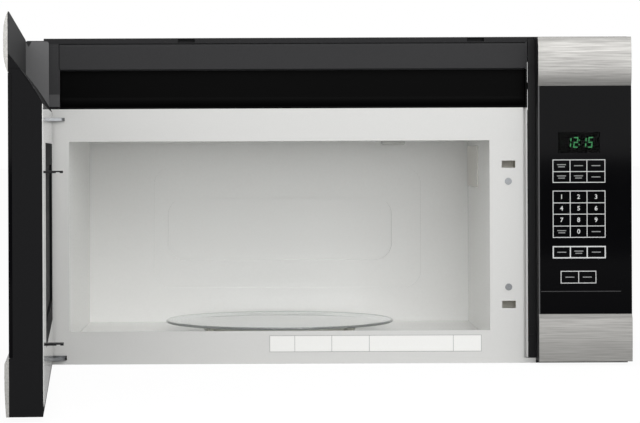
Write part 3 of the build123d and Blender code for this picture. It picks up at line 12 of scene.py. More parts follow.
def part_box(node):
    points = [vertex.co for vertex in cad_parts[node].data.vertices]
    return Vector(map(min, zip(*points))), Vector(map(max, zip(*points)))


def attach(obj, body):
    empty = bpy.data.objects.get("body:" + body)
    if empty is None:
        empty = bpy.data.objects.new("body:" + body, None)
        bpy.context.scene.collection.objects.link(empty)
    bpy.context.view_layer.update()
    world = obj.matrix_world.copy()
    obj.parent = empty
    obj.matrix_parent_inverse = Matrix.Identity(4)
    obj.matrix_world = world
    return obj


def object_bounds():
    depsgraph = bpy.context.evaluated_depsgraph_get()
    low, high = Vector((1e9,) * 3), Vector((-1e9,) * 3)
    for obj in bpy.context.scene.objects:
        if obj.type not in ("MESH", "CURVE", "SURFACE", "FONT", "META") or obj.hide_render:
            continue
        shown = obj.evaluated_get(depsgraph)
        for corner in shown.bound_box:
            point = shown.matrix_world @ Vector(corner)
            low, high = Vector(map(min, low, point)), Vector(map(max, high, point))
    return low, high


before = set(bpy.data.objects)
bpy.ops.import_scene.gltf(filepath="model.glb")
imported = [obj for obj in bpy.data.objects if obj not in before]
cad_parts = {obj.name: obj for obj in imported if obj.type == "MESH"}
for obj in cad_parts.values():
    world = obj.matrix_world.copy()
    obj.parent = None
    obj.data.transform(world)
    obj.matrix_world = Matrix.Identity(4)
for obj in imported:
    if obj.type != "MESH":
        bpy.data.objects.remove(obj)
CAD_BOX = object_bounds()

LOG = logging.getLogger("microwave")
MM = 0.001
DOOR_OPEN_DEG = 85.5  # the door's direction, turned from the closed position
WAVE_SCALE = 0.31416  # a wave texture of this scale repeats once per unit
HOLE_EDGE = (0.3, 0.36)  # a punched hole's edge, as a share of the pitch from its centre
PRINT_T = 0.00012  # ink and foil stand this far off what they are printed on

Corner = tuple[float, float, float]
Span = tuple[float, float]
Box3 = tuple[Span, Span, Span]


# ---------------------------------------------------------------- colours and nodes
def linear(hex_colour: str) -> tuple[float, float, float, float]:
    """Turns an sRGB hex colour into the linear values that the shaders take.

    Args:
        hex_colour: Six hex digits, such as "d8d8d6".

    Returns:
        Linear red, green and blue, and an alpha of 1.
    """
    parts = [int(hex_colour[i:i + 2], 16) / 255 for i in (0, 2, 4)]
    low = 0.04045
    red, green, blue = (p / 12.92 if p <= low else ((p + 0.055) / 1.055) ** 2.4 for p in parts)
    return red, green, blue, 1.0


def add_node(
    tree: bpy.types.NodeTree,
    kind: str,
    settings: dict[str | int, object] | None = None,
    links: dict[str | int, bpy.types.NodeSocket] | None = None,
) -> bpy.types.Node:
    """Adds a node with its settings and links.

    Args:
        tree: The node tree that takes the node.
        kind: The node's type name.
        settings: Socket names or numbers, or property names, with their values.
        links: Socket names or numbers, each with the socket that feeds it.

    Returns:
        The new node.
    """
    node = tree.nodes.new(kind)
    for key, value in (settings or {}).items():
        if isinstance(key, str) and hasattr(node, key):
            setattr(node, key, value)
        else:
            node.inputs[key].default_value = value
    for key, source in (links or {}).items():
        tree.links.new(source, node.inputs[key])
    return node


# ---------------------------------------------------------------- finishes
class Pattern(Enum):
    """How a surface was made, as far as the eye can see it."""

    GRAIN = "grain"  # moulded, sprayed or cast: soft irregular relief
    BRUSHED = "brushed"  # long scratches in one direction
    SPANGLE = "spangle"  # zinc crystals
    LAYERS = "layers"  # stacked sheets or wound wire
    HOLES = "holes"  # round holes in rows


@dataclass(frozen=True)
class Zone:
    """A part of a piece with a colour of its own, marked by limits in millimetres; some zones hold
    painted shade, a painted highlight and a painted reflection.
    """

    limits_mm: tuple[Span | None, Span | None, Span | None]
    colour: str

    def inside(self, tree: bpy.types.NodeTree) -> bpy.types.NodeSocket:
        """Builds a mask that is 1 inside the zone.

        Args:
            tree: The material's node tree.

        Returns:
            A socket that is 1 inside the zone and 0 outside it.
        """
        place = add_node(tree, "ShaderNodeTexCoord")
        split = add_node(tree, "ShaderNodeSeparateXYZ", links={0: place.outputs["Object"]})
        mask = None
        for axis, limits in enumerate(self.limits_mm):
            if limits is None:
                continue
            middle, half = sum(limits) / 2 * MM, (limits[1] - limits[0]) / 2 * MM
            near = add_node(tree, "ShaderNodeMath", {"operation": "COMPARE", 1: middle, 2: half},
                            {0: split.outputs[axis]}).outputs["Value"]
            mask = near if mask is None else add_node(
                tree, "ShaderNodeMath", {"operation": "MULTIPLY"}, {0: mask, 1: near}
            ).outputs["Value"]
        return mask


@dataclass(frozen=True)
class Finish:
    """A material with one pattern that drives its colour, roughness and relief."""

    name: str
    colour: str
    drift: str
    roughness: float
    pattern: Pattern = Pattern.GRAIN
    spacing_mm: Corner = (1.5, 1.5, 1.5)
    turn_deg: float = 0.0
    roughness_drift: float = 0.06
    relief_mm: float = 0.02
    metallic: float = 0.0
    ior: float = 1.5
    transmission: float = 0.0
    glow: float = 0.0
    specular: float = 0.5
    zones: tuple[Zone, ...] = ()

    def pattern_value(self, tree: bpy.types.NodeTree) -> bpy.types.NodeSocket:
        """Builds the pattern at its real spacing.

        Args:
            tree: The material's node tree.

        Returns:
            A socket that runs from about 0 to 1 over the pattern.
        """
        place = add_node(tree, "ShaderNodeTexCoord")
        spaced = add_node(
            tree,
            "ShaderNodeMapping",
            {
                "vector_type": "TEXTURE",
                "Scale": tuple(s * MM for s in self.spacing_mm),
                "Rotation": (0.0, 0.0, math.radians(self.turn_deg)),
            },
            {"Vector": place.outputs["Object"]},
        )
        vector = {"Vector": spaced.outputs["Vector"]}
        if self.pattern is Pattern.SPANGLE:
            cells = add_node(tree, "ShaderNodeTexVoronoi", {"Scale": 1.0}, vector)
            return add_node(
                tree, "ShaderNodeSeparateColor", links={"Color": cells.outputs["Color"]}
            ).outputs["Red"]
        if self.pattern is Pattern.LAYERS:
            bands = {"wave_type": "BANDS", "bands_direction": "Z", "Scale": WAVE_SCALE}
            return add_node(tree, "ShaderNodeTexWave", bands, vector).outputs["Fac"]
        if self.pattern is Pattern.HOLES:
            rows = add_node(
                tree, "ShaderNodeTexVoronoi", {"Scale": 1.0, "Randomness": 0.0}, vector
            )
            return add_node(
                tree,
                "ShaderNodeMapRange",
                {"From Min": HOLE_EDGE[0], "From Max": HOLE_EDGE[1]},
                {"Value": rows.outputs["Distance"]},
            ).outputs["Result"]
        detail = 2.0 if self.pattern is Pattern.BRUSHED else 4.0
        return add_node(
            tree, "ShaderNodeTexNoise", {"Scale": 1.0, "Detail": detail}, vector
        ).outputs["Fac"]

    def material(self) -> bpy.types.Material:
        """Builds the material, or returns the one already built.

        Returns:
            The finish as a Blender material.
        """
        known = bpy.data.materials.get(self.name)
        if known:
            return known
        made = bpy.data.materials.new(self.name)
        made.use_nodes = True
        tree = made.node_tree
        shader = tree.nodes["Principled BSDF"]
        value = self.pattern_value(tree)
        colour = add_node(
            tree,
            "ShaderNodeMix",
            {"data_type": "RGBA", 6: linear(self.colour), 7: linear(self.drift)},
            {0: value},
        ).outputs[2]
        for zone in self.zones:
            colour = add_node(
                tree, "ShaderNodeMix", {"data_type": "RGBA", 7: linear(zone.colour)},
                {0: zone.inside(tree), 6: colour},
            ).outputs[2]
        gloss = add_node(
            tree,
            "ShaderNodeMapRange",
            {
                "To Min": max(0.0, self.roughness - self.roughness_drift),
                "To Max": self.roughness + self.roughness_drift,
            },
            {"Value": value},
        )
        relief = add_node(
            tree, "ShaderNodeBump", {"Strength": 1.0, "Distance": self.relief_mm * MM},
            {"Height": value},
        )
        tree.links.new(colour, shader.inputs["Base Color"])
        tree.links.new(gloss.outputs["Result"], shader.inputs["Roughness"])
        tree.links.new(relief.outputs["Normal"], shader.inputs["Normal"])
        shader.inputs["Metallic"].default_value = self.metallic
        if not self.metallic:
            shader.inputs["IOR"].default_value = self.ior
            shader.inputs["Specular IOR Level"].default_value = self.specular
        shader.inputs["Transmission Weight"].default_value = self.transmission
        if self.transmission:
            shader.inputs["Specular Tint"].default_value = (2 * self.specular,) * 3 + (1.0,)
        if self.glow:
            tree.links.new(colour, shader.inputs["Emission Color"])
            shader.inputs["Emission Strength"].default_value = self.glow
        return made


# Powder coat on steel: an even, slightly waxy white with a faint orange peel.
WHITE_POWDER = Finish("powder_coat_white_sprayed", "d4d4d2", "cececc", 0.42, relief_mm=0.01)
# Enamel inside the oven: the same white with a wetter shine, so that walls mirror softly.
# Its colour is drawn lighter than the plate's white: painted light, standing in for light that
# fills the cavity.
WHITE_ENAMEL = Finish("enamel_white_sprayed", "f8f8f6", "f3f3f1", 0.22, relief_mm=0.008,
                      spacing_mm=(3.0, 3.0, 3.0))
# Enamelled door pan: smooth and wet, so that it mirrors what stands at its edge.
PAN_ENAMEL = Finish("enamel_white_polished", "dededc", "d8d8d6", 0.06, relief_mm=0.001,
                    spacing_mm=(20.0, 20.0, 20.0), roughness_drift=0.02)
# Black powder coat on the case: dull, with a fine sandy grain.
BLACK_POWDER = Finish("powder_coat_black_textured", "19191a", "212122", 0.55, relief_mm=0.04,
                      specular=0.3)
# Brushed stainless: grain drawn as coarse as the render can show, real scratches are finer.
STEEL_LEVEL = Finish("stainless_steel_brushed_level", "a6a5a2", "767573", 0.48, Pattern.BRUSHED,
                     (45.0, 1.4, 1.4), metallic=1.0, roughness_drift=0.1, relief_mm=0.02)
STEEL_DOOR = replace(STEEL_LEVEL, name="stainless_steel_brushed_door", turn_deg=-DOOR_OPEN_DEG)
# Moulded ABS, eroded in the mould: black that turns grey where light grazes it.
ABS_BLACK = Finish("abs_black_moulded", "141415", "19191a", 0.42, relief_mm=0.03, specular=0.12)
# Door frame and choke cover: the same plastic, eroded more, so that it stays black at a low
# angle. The fin, a zone of its own, is drawn greyer: a painted reflection of the grey end cap.
ABS_MATT = Finish("abs_black_matt_painted_fin_reflection", "161617", "1b1b1c", 0.6, relief_mm=0.03,
                  specular=0.02, zones=(Zone((None, None, (379.0, 430.0)), "3c3c3d"),))
# The grille: charcoal strip and visor over a recess in painted shade, painted highlight on its left
# post.
ABS_GRILLE = Finish("abs_charcoal_painted_shade_and_highlight", "363637", "3e3e3f", 0.4, relief_mm=0.02,
                    specular=0.02, zones=(
                        # Painted shade: the recess under the visor, drawn near black where the real
                        # recess lies in shadow.
                        Zone((None, (-352.0, -330.0), (330.0, 383.0)), "050505"),
                        Zone(((-358.9, 252.0), None, (330.0, 383.0)), "050505"),
                        # The top rail, drawn a shade darker.
                        Zone((None, None, (417.6, 426.0)), "2e2e2f"),
                        # The left end post, darker at its foot.
                        Zone(((-379.5, -359.4), None, (330.0, 341.0)), "19191a"),
                        # Painted highlight: the left post's lower end, lighter where it curves
                        # forward into the light.
                        Zone(((-379.5, -359.4), (-356.0, -353.5), (336.0, 352.0)), "545455"),
                    ))
# Grey ABS: the same moulded grain, light enough for its edges to read against black.
ABS_GREY = Finish("abs_grey_moulded", "565657", "5e5e5f", 0.45, relief_mm=0.03, specular=0.3)
# Back-printed float glass: deep black under a clear flat surface, its ground edge grey.
GLASS_BLACK = Finish("float_glass_black_printed", "060607", "08080a", 0.06,
                     spacing_mm=(60.0, 60.0, 60.0), roughness_drift=0.02, relief_mm=0.002,
                     ior=1.52, specular=0.03, zones=(
                         Zone(((259.0, 261.6), (-393.0, -392.0), None), "5a5a5b"),
                         Zone((None, (-994.0, -992.2), None), "3a3a3b"),
                     ))
# Smoked acrylic over the display: lets the bright digits through and hides the rest.
ACRYLIC_SMOKED = Finish("acrylic_smoked_moulded", "2b332e", "28302b", 0.04,
                        spacing_mm=(40.0, 40.0, 40.0), roughness_drift=0.01, relief_mm=0.001,
                        ior=1.49, transmission=1.0, specular=0.02)
# Pressed soda-lime glass: clear, a little grey-green where it is seen through its thickness.
GLASS_PRESSED = Finish("soda_lime_glass_pressed", "f4f8f7", "f0f5f3", 0.04,
                       spacing_mm=(25.0, 25.0, 25.0), roughness_drift=0.02, relief_mm=0.02,
                       ior=1.52, transmission=0.85)
# Polycarbonate lens: frosted by its fine prisms, so that it looks milky rather than clear.
LENS_CLEAR = Finish("polycarbonate_lens_moulded", "eeeeea", "e6e6e2", 0.25,
                    spacing_mm=(2.0, 2.0, 2.0), relief_mm=0.05, ior=1.58, transmission=0.3)
# Bright zinc plate: cool grey with a faint cloudiness, dark where it mirrors nothing bright.
ZINC_BRIGHT = Finish("zinc_plate_bright", "7c7e80", "6c6e70", 0.3, spacing_mm=(4.0, 4.0, 4.0),
                     metallic=1.0, relief_mm=0.01)
# Galvanised sheet: crystals that catch the light one by one.
ZINC_SPANGLE = Finish("zinc_galvanised_sheet", "9fa2a4", "b4b7b9", 0.4, Pattern.SPANGLE,
                      (11.0, 11.0, 11.0), metallic=1.0, roughness_drift=0.1, relief_mm=0.0)
# Mica board: pale, flaky, a little pearly.
MICA_PRESSED = Finish("mica_board_pressed", "f2f0ea", "e8e5de", 0.38, spacing_mm=(5.0, 5.0, 5.0))
# Natural nylon: warm off-white, waxy.
NYLON_WHITE = Finish("nylon_natural_moulded", "e2e0d8", "d8d6cd", 0.45)
# Stacked electrical steel: dark edges of thin sheets, one above the other.
LAMINATIONS = Finish("electrical_steel_stacked", "4a4846", "33312f", 0.5, Pattern.LAYERS,
                     (1.0, 1.0, 1.0), metallic=0.8, relief_mm=0.08)
# Wound enamelled copper: turns that catch the light in rows.
COPPER_WOUND = Finish("copper_wire_wound", "b0663a", "7d4221", 0.38, Pattern.LAYERS,
                      (1.6, 1.6, 1.6), metallic=1.0, relief_mm=0.2)
# Drawn aluminium: pale, with upright marks of the tool.
ALUMINIUM_DRAWN = Finish("aluminium_can_drawn", "bdbfc1", "aaacae", 0.34, Pattern.BRUSHED,
                         (1.2, 1.2, 30.0), metallic=1.0, relief_mm=0.01)
# Woven aluminium strands: brighter than the sheet behind them.
ALUMINIUM_MESH = Finish("aluminium_wire_mesh", "c2c4c6", "a3a5a7", 0.36, metallic=1.0)
# Circuit board: green lacquer with a soft shine.
EPOXY_BOARD = Finish("epoxy_board_green_lacquered", "1e5a33", "174727", 0.32,
                     spacing_mm=(7.0, 7.0, 7.0), relief_mm=0.04)
# Charcoal pad: pleated, dull, almost without reflection.
CHARCOAL_PAD = Finish("charcoal_pad_pleated", "141414", "1f1f1f", 0.9, spacing_mm=(3.0, 3.0, 3.0),
                      relief_mm=0.5)
# Punched screen behind the door glass: rows of round holes in dark enamel.
SCREEN_PUNCHED = Finish("steel_screen_punched_enamelled", "050505", "2a2a2b", 0.5, Pattern.HOLES,
                        (2.4, 2.4, 2.4), turn_deg=-DOOR_OPEN_DEG, relief_mm=0.1, specular=0.02)
# Drawn spring wire: smooth grey steel.
STEEL_WIRE = Finish("spring_steel_drawn", "8d8e90", "77787a", 0.3, metallic=1.0)
# Screen-printed ink and foils.
INK_WHITE = Finish("ink_white_screen_printed", "d2d3d3", "c8c9c9", 0.5, spacing_mm=(2.0, 2.0, 2.0))
INK_GREY = Finish("ink_grey_screen_printed", "8f9090", "858686", 0.5, spacing_mm=(2.0, 2.0, 2.0))
INK_FAINT = Finish("ink_black_gloss_printed", "262627", "2c2c2d", 0.2, spacing_mm=(2.0, 2.0, 2.0))
FOIL_WHITE = Finish("foil_label_white_printed", "f2f2f0", "ecece9", 0.45)
LED_GREEN = Finish("led_green_lit", "7fdc9c", "74d292", 0.4, glow=14.0)
# Painted glow: the unlit indicator is given a glow of its own, so that it shows through the smoked
# window.
LED_DIM = Finish("led_green_unlit_painted_glow", "5c6a60", "566459", 0.4, glow=8.0)


# ---------------------------------------------------------------- mesh steps
def add_slab(mesh: bmesh.types.BMesh, limits: Box3, edge: float = 0.0) -> None:
    """Adds a block with softened edges to a mesh.

    Args:
        mesh: The mesh that takes the block.
        limits: Its limits in X, Y and Z, in metres.
        edge: The width of its bevelled edges, in metres.
    """
    (x0, x1), (y0, y1), (z0, z1) = limits
    place = Matrix.Translation(((x0 + x1) / 2, (y0 + y1) / 2, (z0 + z1) / 2))
    size = Matrix.Diagonal((abs(x1 - x0), abs(y1 - y0), abs(z1 - z0), 1.0))
    made = bmesh.ops.create_cube(mesh, size=1.0, matrix=place @ size)
    if edge:
        edges = list({e for v in made["verts"] for e in v.link_edges})
        bmesh.ops.bevel(mesh, geom=edges, offset=edge, segments=2, affect="EDGES")


def add_prism(mesh: bmesh.types.BMesh, outline: list[Span], depth: Span) -> None:
    """Adds a flat plate of any outline, standing in the XZ plane.

    Args:
        mesh: The mesh that takes the plate.
        outline: Its corners in X and Z, in metres.
        depth: Its front and back in Y, in metres.
    """
    front = [mesh.verts.new((x, depth[0], z)) for x, z in outline]
    back = [mesh.verts.new((x, depth[1], z)) for x, z in outline]
    mesh.faces.new(front)
    mesh.faces.new(list(reversed(back)))
    count = len(outline)
    for i in range(count):
        after = (i + 1) % count
        mesh.faces.new((front[after], front[i], back[i], back[after]))


def add_frame(mesh: bmesh.types.BMesh, x: Span, z: Span, depth: Span, width: float) -> None:
    """Adds a rectangular outline of printed line.

    Args:
        mesh: The mesh that takes the outline.
        x: Its left and right, in metres.
        z: Its bottom and top, in metres.
        depth: Its front and back in Y, in metres.
        width: The line's width, in metres.
    """
    half = width / 2
    for level in z:
        add_slab(mesh, ((x[0] - half, x[1] + half), depth, (level - half, level + half)))
    for side in x:
        add_slab(mesh, ((side - half, side + half), depth, (z[0] + half, z[1] - half)))


def add_digit(mesh: bmesh.types.BMesh, text: str, centre: Corner, height: float) -> None:
    """Adds a printed numeral that faces the front.

    Args:
        mesh: The mesh that takes the numeral.
        text: The numeral.
        centre: Its centre, in metres.
        height: Its height, in metres.
    """
    curve = bpy.data.curves.new("numeral", "FONT")
    curve.body = text
    curve.size = height / 0.7  # capitals fill about 0.7 of the type size
    curve.align_x = "CENTER"
    curve.align_y = "CENTER"
    curve.extrude = PRINT_T / 2
    curve.offset = 0.00012
    holder = bpy.data.objects.new("numeral", curve)
    bpy.context.scene.collection.objects.link(holder)
    bpy.context.view_layer.update()
    shape = bpy.data.meshes.new_from_object(holder)
    shape.transform(Matrix.Translation(centre) @ Matrix.Rotation(math.pi / 2, 4, "X"))
    mesh.from_mesh(shape)
    bpy.data.objects.remove(holder)
    bpy.data.curves.remove(curve)
    bpy.data.meshes.remove(shape)


def finish_piece(
    mesh: bmesh.types.BMesh, name: str, finish: Finish, body: str
) -> bpy.types.Object:
    """Turns a mesh into a piece of the object.

    Args:
        mesh: The finished mesh, which is freed.
        name: The piece's name.
        finish: What it is made of.
        body: The moving body that it rides on.

    Returns:
        The new piece.
    """
    bmesh.ops.recalc_face_normals(mesh, faces=mesh.faces)
    data = bpy.data.meshes.new(name)
    mesh.to_mesh(data)
    mesh.free()
    piece = bpy.data.objects.new(name, data)
    data.materials.append(finish.material())
    bpy.context.scene.collection.objects.link(piece)
    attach(piece, body)
    LOG.info("piece %s on %s", name, body)
    return piece


@dataclass
class SubAssembly:
    """A group of pieces that is built and dressed together."""

    finishes: dict[str, Finish] = field(default_factory=dict)

    def dress(self) -> None:
        """Gives each carried-over piece of the group its finish."""
        for node, finish in self.finishes.items():
            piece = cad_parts[node]
            if not piece.material_slots:
                piece.data.materials.append(None)
            for holder in piece.material_slots:
                holder.material = finish.material()
            LOG.info("dressed %s in %s", node, finish.name)

    def build(self) -> None:
        """Dresses the group; groups with added pieces build them here too."""
        self.dress()


# ---------------------------------------------------------------- sub-assemblies
@dataclass
class Chassis(SubAssembly):
    """Case, wall plate and the white front plate with its blank guide label."""

    finishes: dict[str, Finish] = field(default_factory=lambda: {
        "wall_mounting_plate": ZINC_SPANGLE, "rear_panel": ZINC_SPANGLE,
        "case_top": BLACK_POWDER, "case_sides": BLACK_POWDER,
        "base_plate": BLACK_POWDER, "front_plate": WHITE_POWDER,
        "case_screws": ZINC_BRIGHT, "power_cord_gland": ABS_BLACK,
    })
    label_columns: tuple[float, ...] = (-0.0867, -0.0541, -0.0059, 0.0430, 0.1525, 0.1890)
    label_z: Span = (0.0156, 0.0366)
    label_line: float = 0.0005

    def build(self) -> None:
        """Dresses the case and adds the guide label."""
        self.dress()
        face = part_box("front_plate")[0].y
        left, right = self.label_columns[0], self.label_columns[-1]
        foil = bmesh.new()
        add_slab(foil, ((left, right), (face - PRINT_T, face), self.label_z), edge=PRINT_T / 4)
        finish_piece(foil, "guide_label", FOIL_WHITE, "oven")
        lines = bmesh.new()
        depth = (face - 2 * PRINT_T, face - PRINT_T)
        add_frame(lines, (left, right), self.label_z, depth, self.label_line)
        half = self.label_line / 2
        for column in self.label_columns[1:-1]:
            add_slab(lines, ((column - half, column + half), depth, self.label_z))
        finish_piece(lines, "guide_label_rules", INK_GREY, "oven")


@dataclass
class Cavity(SubAssembly):
    """The oven's inside with its lamp and waveguide cover."""

    finishes: dict[str, Finish] = field(default_factory=lambda: {
        "cavity_liner": WHITE_ENAMEL, "waveguide_cover": MICA_PRESSED,
        "cavity_lamp_lens": LENS_CLEAR, "cavity_lamp": LENS_CLEAR,
    })


@dataclass
class Turntable(SubAssembly):
    """Motor, coupler, roller ring with its wheels, and glass tray."""

    finishes: dict[str, Finish] = field(default_factory=lambda: {
        "turntable_motor": ZINC_SPANGLE, "turntable_coupler": NYLON_WHITE,
        "glass_tray": GLASS_PRESSED, "roller_ring": NYLON_WHITE,
        "roller_wheel_1": NYLON_WHITE, "roller_wheel_2": NYLON_WHITE,
        "roller_wheel_3": NYLON_WHITE,
    })


@dataclass
class AirPath(SubAssembly):
    """Vent grille over the mouth, charcoal filter and blower."""

    finishes: dict[str, Finish] = field(default_factory=lambda: {
        "vent_grille": ABS_GRILLE, "charcoal_filter": CHARCOAL_PAD,
        "blower_housings": ABS_BLACK, "blower_motor": ZINC_SPANGLE, "blower_rotor": ABS_BLACK,
    })


@dataclass
class MicrowaveSource(SubAssembly):
    """High-voltage parts and their cooling fan."""

    finishes: dict[str, Finish] = field(default_factory=lambda: {
        "waveguide": ZINC_SPANGLE, "magnetron": ALUMINIUM_DRAWN,
        "transformer_core": LAMINATIONS, "transformer_windings": COPPER_WOUND,
        "hv_capacitor_set": ALUMINIUM_DRAWN, "noise_filter_board": EPOXY_BOARD,
        "cooling_fan_frame": ABS_BLACK, "cooling_fan_motor": LAMINATIONS,
        "cooling_fan_blade": NYLON_WHITE,
    })


@dataclass
class Underside(SubAssembly):
    """Cooktop lamps and the grease filters with their woven mesh."""

    finishes: dict[str, Finish] = field(default_factory=lambda: {
        "cooktop_lamp_cover": LENS_CLEAR, "cooktop_lamps": LENS_CLEAR,
        "grease_filter_left": ALUMINIUM_DRAWN, "grease_filter_right": ALUMINIUM_DRAWN,
    })
    rim: float = 0.0085
    pitch: float = 0.006  # real mesh is about 2 mm, drawn coarser so that it shows
    strand: float = 0.0009
    layers: tuple[Span, Span] = ((0.00010, 0.00045), (0.00050, 0.00085))

    def add_mesh(self, side: str) -> None:
        """Lays two crossing layers of strands in a filter's lower recess.

        Args:
            side: Which filter, "left" or "right".
        """
        low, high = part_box(f"grease_filter_{side}")
        strands = bmesh.new()
        half = self.strand / 2
        inner = ((low.x + self.rim, high.x - self.rim), (low.y + self.rim, high.y - self.rim))
        for axis, levels in enumerate(self.layers):
            start, end = inner[axis]
            count = int((end - start) / self.pitch)
            for step in range(1, count):
                at = start + (end - start) * step / count
                across = (at - half, at + half)
                spans = (across, inner[1]) if axis == 0 else (inner[0], across)
                add_slab(strands, (spans[0], spans[1], levels))
        finish_piece(
            strands, f"grease_filter_mesh_{side}", ALUMINIUM_MESH, f"filter_{side}",
        )

    def build(self) -> None:
        """Dresses the underside and adds the filters' mesh."""
        self.dress()
        for side in ("left", "right"):
            self.add_mesh(side)


@dataclass
class Interlock(SubAssembly):
    """Latch receiver, its switches and screws."""

    finishes: dict[str, Finish] = field(default_factory=lambda: {
        "interlock_housing": NYLON_WHITE, "door_switches": ABS_GREY,
        "latch_housing_screws": ZINC_BRIGHT,
    })


@dataclass
class ControlPanel(SubAssembly):
    """Fascia, display and the printed keypad, with plain bars where keys carry words."""

    finishes: dict[str, Finish] = field(default_factory=lambda: {
        "control_panel_housing": ABS_BLACK, "panel_top_band": STEEL_LEVEL,
        "panel_bottom_band": STEEL_LEVEL, "panel_glass": GLASS_BLACK,
        "display_window": ACRYLIC_SMOKED, "display_module": ABS_BLACK,
        "control_board": EPOXY_BOARD,
    })
    columns: tuple[float, ...] = (0.2788, 0.3008, 0.3225, 0.3457)
    cooking_rows: tuple[float, ...] = (0.2645, 0.2494, 0.2355)
    number_rows: tuple[float, ...] = (0.2244, 0.2091, 0.1946, 0.1793, 0.1647)
    start_rows: tuple[float, ...] = (0.1528, 0.1384)
    hood_columns: tuple[float, ...] = (0.2887, 0.3114, 0.3336)
    hood_rows: tuple[float, ...] = (0.1211, 0.1059)
    line: float = 0.0009
    heavy_line: float = 0.0015
    digit_height: float = 0.0056
    bar: tuple[float, float] = (0.0115, 0.0011)
    bar_gap: float = 0.0028
    lower_bar: float = 0.75  # the lower of two bars is this share of the upper one's width
    touch_zone: tuple[Span, float] = ((0.2630, 0.3658), 0.0952)
    clock_x: tuple[float, ...] = (0.2967, 0.3054, 0.3162, 0.3242)
    clock_z: Span = (0.2802, 0.2938)
    clock_width: float = 0.0056
    colon_x: float = 0.3120
    colon_dot: float = 0.0014
    colon_rise: float = 0.0028  # each dot's distance from the digits' middle
    indicator_x: float = 0.2900
    indicator_size: tuple[float, float] = (0.0016, 0.0024)
    segment: float = 0.0013
    slant: float = 0.08

    def grid(
        self, mesh: bmesh.types.BMesh, columns: tuple[float, ...], rows: tuple[float, ...],
        depth: Span, width: float,
    ) -> None:
        """Prints the outline of a block of keys.

        Args:
            mesh: The mesh that takes the lines.
            columns: The X of each upright line.
            rows: The Z of each level line, from the top down.
            depth: The ink's front and back in Y.
            width: The lines' width.
        """
        half = width / 2
        add_frame(mesh, (columns[0], columns[-1]), (rows[-1], rows[0]), depth, width)
        for x in columns[1:-1]:
            add_slab(mesh, ((x - half, x + half), depth, (rows[-1] + half, rows[0] - half)))
        for z in rows[1:-1]:
            cuts = [columns[0], *columns[1:-1], columns[-1]]
            for left, right in zip(cuts, cuts[1:]):
                add_slab(mesh, ((left + half, right - half), depth, (z - half, z + half)))

    def bars(self, mesh: bmesh.types.BMesh, centre: Span, count: int, depth: Span) -> None:
        """Prints one or two plain bars where a key carries words.

        Args:
            mesh: The mesh that takes the bars.
            centre: The key's centre in X and Z.
            count: How many bars.
            depth: The ink's front and back in Y.
        """
        wide, tall = self.bar
        for step in range(count):
            z = centre[1] + ((count - 1) / 2 - step) * self.bar_gap
            reach = wide / 2 * (1.0 if step == 0 else self.lower_bar)
            add_slab(mesh, ((centre[0] - reach, centre[0] + reach), depth,
                            (z - tall / 2, z + tall / 2)))

    def keypad(self) -> None:
        """Prints the keys' outlines, numerals and bars on the glass."""
        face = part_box("panel_glass")[0].y
        depth = (face - PRINT_T, face)
        lines = bmesh.new()
        self.grid(lines, self.columns, self.cooking_rows, depth, self.line)
        self.grid(lines, self.columns, self.number_rows, depth, self.line)
        self.grid(lines, self.columns, self.start_rows, depth, self.heavy_line)
        self.grid(lines, self.hood_columns, self.hood_rows, depth, self.line)
        finish_piece(lines, "keypad_outlines", INK_WHITE, "oven")

        middles = [(a + b) / 2 for a, b in zip(self.columns, self.columns[1:])]
        marks = bmesh.new()
        numerals = ("123", "456", "789", " 0 ")
        for row, text in enumerate(numerals):
            z = (self.number_rows[row] + self.number_rows[row + 1]) / 2
            for x, numeral in zip(middles, text):
                if numeral != " ":
                    add_digit(marks, numeral, (x, face - PRINT_T / 2, z), self.digit_height)
        finish_piece(marks, "keypad_numerals", INK_WHITE, "oven")

        words = bmesh.new()
        for row, counts in enumerate(((2, 1, 1), (2, 2, 1))):
            z = (self.cooking_rows[row] + self.cooking_rows[row + 1]) / 2
            for x, count in zip(middles, counts):
                self.bars(words, (x, z), count, depth)
        last = (self.number_rows[3] + self.number_rows[4]) / 2
        self.bars(words, (middles[0], last), 2, depth)
        self.bars(words, (middles[2], last), 1, depth)
        start = sum(self.start_rows) / 2
        for x, count in zip(middles, (1, 2, 1)):
            self.bars(words, (x, start), count, depth)
        hood = sum(self.hood_rows) / 2
        for left, right in zip(self.hood_columns, self.hood_columns[1:]):
            self.bars(words, ((left + right) / 2, hood), 1, depth)
        finish_piece(words, "keypad_bars", INK_GREY, "oven")

        zone = bmesh.new()
        (left, right), top = self.touch_zone
        half = self.line / 2
        add_slab(zone, ((left, right), depth, (top - half, top + half)))
        finish_piece(zone, "touch_zone_line", INK_FAINT, "oven")

    def segments(self, numeral: str) -> tuple[str, ...]:
        """Names the lit segments of a numeral, a to g from the top clockwise, g in the middle."""
        return {"1": tuple("bc"), "2": tuple("abged"), "5": tuple("afgcd")}[numeral]

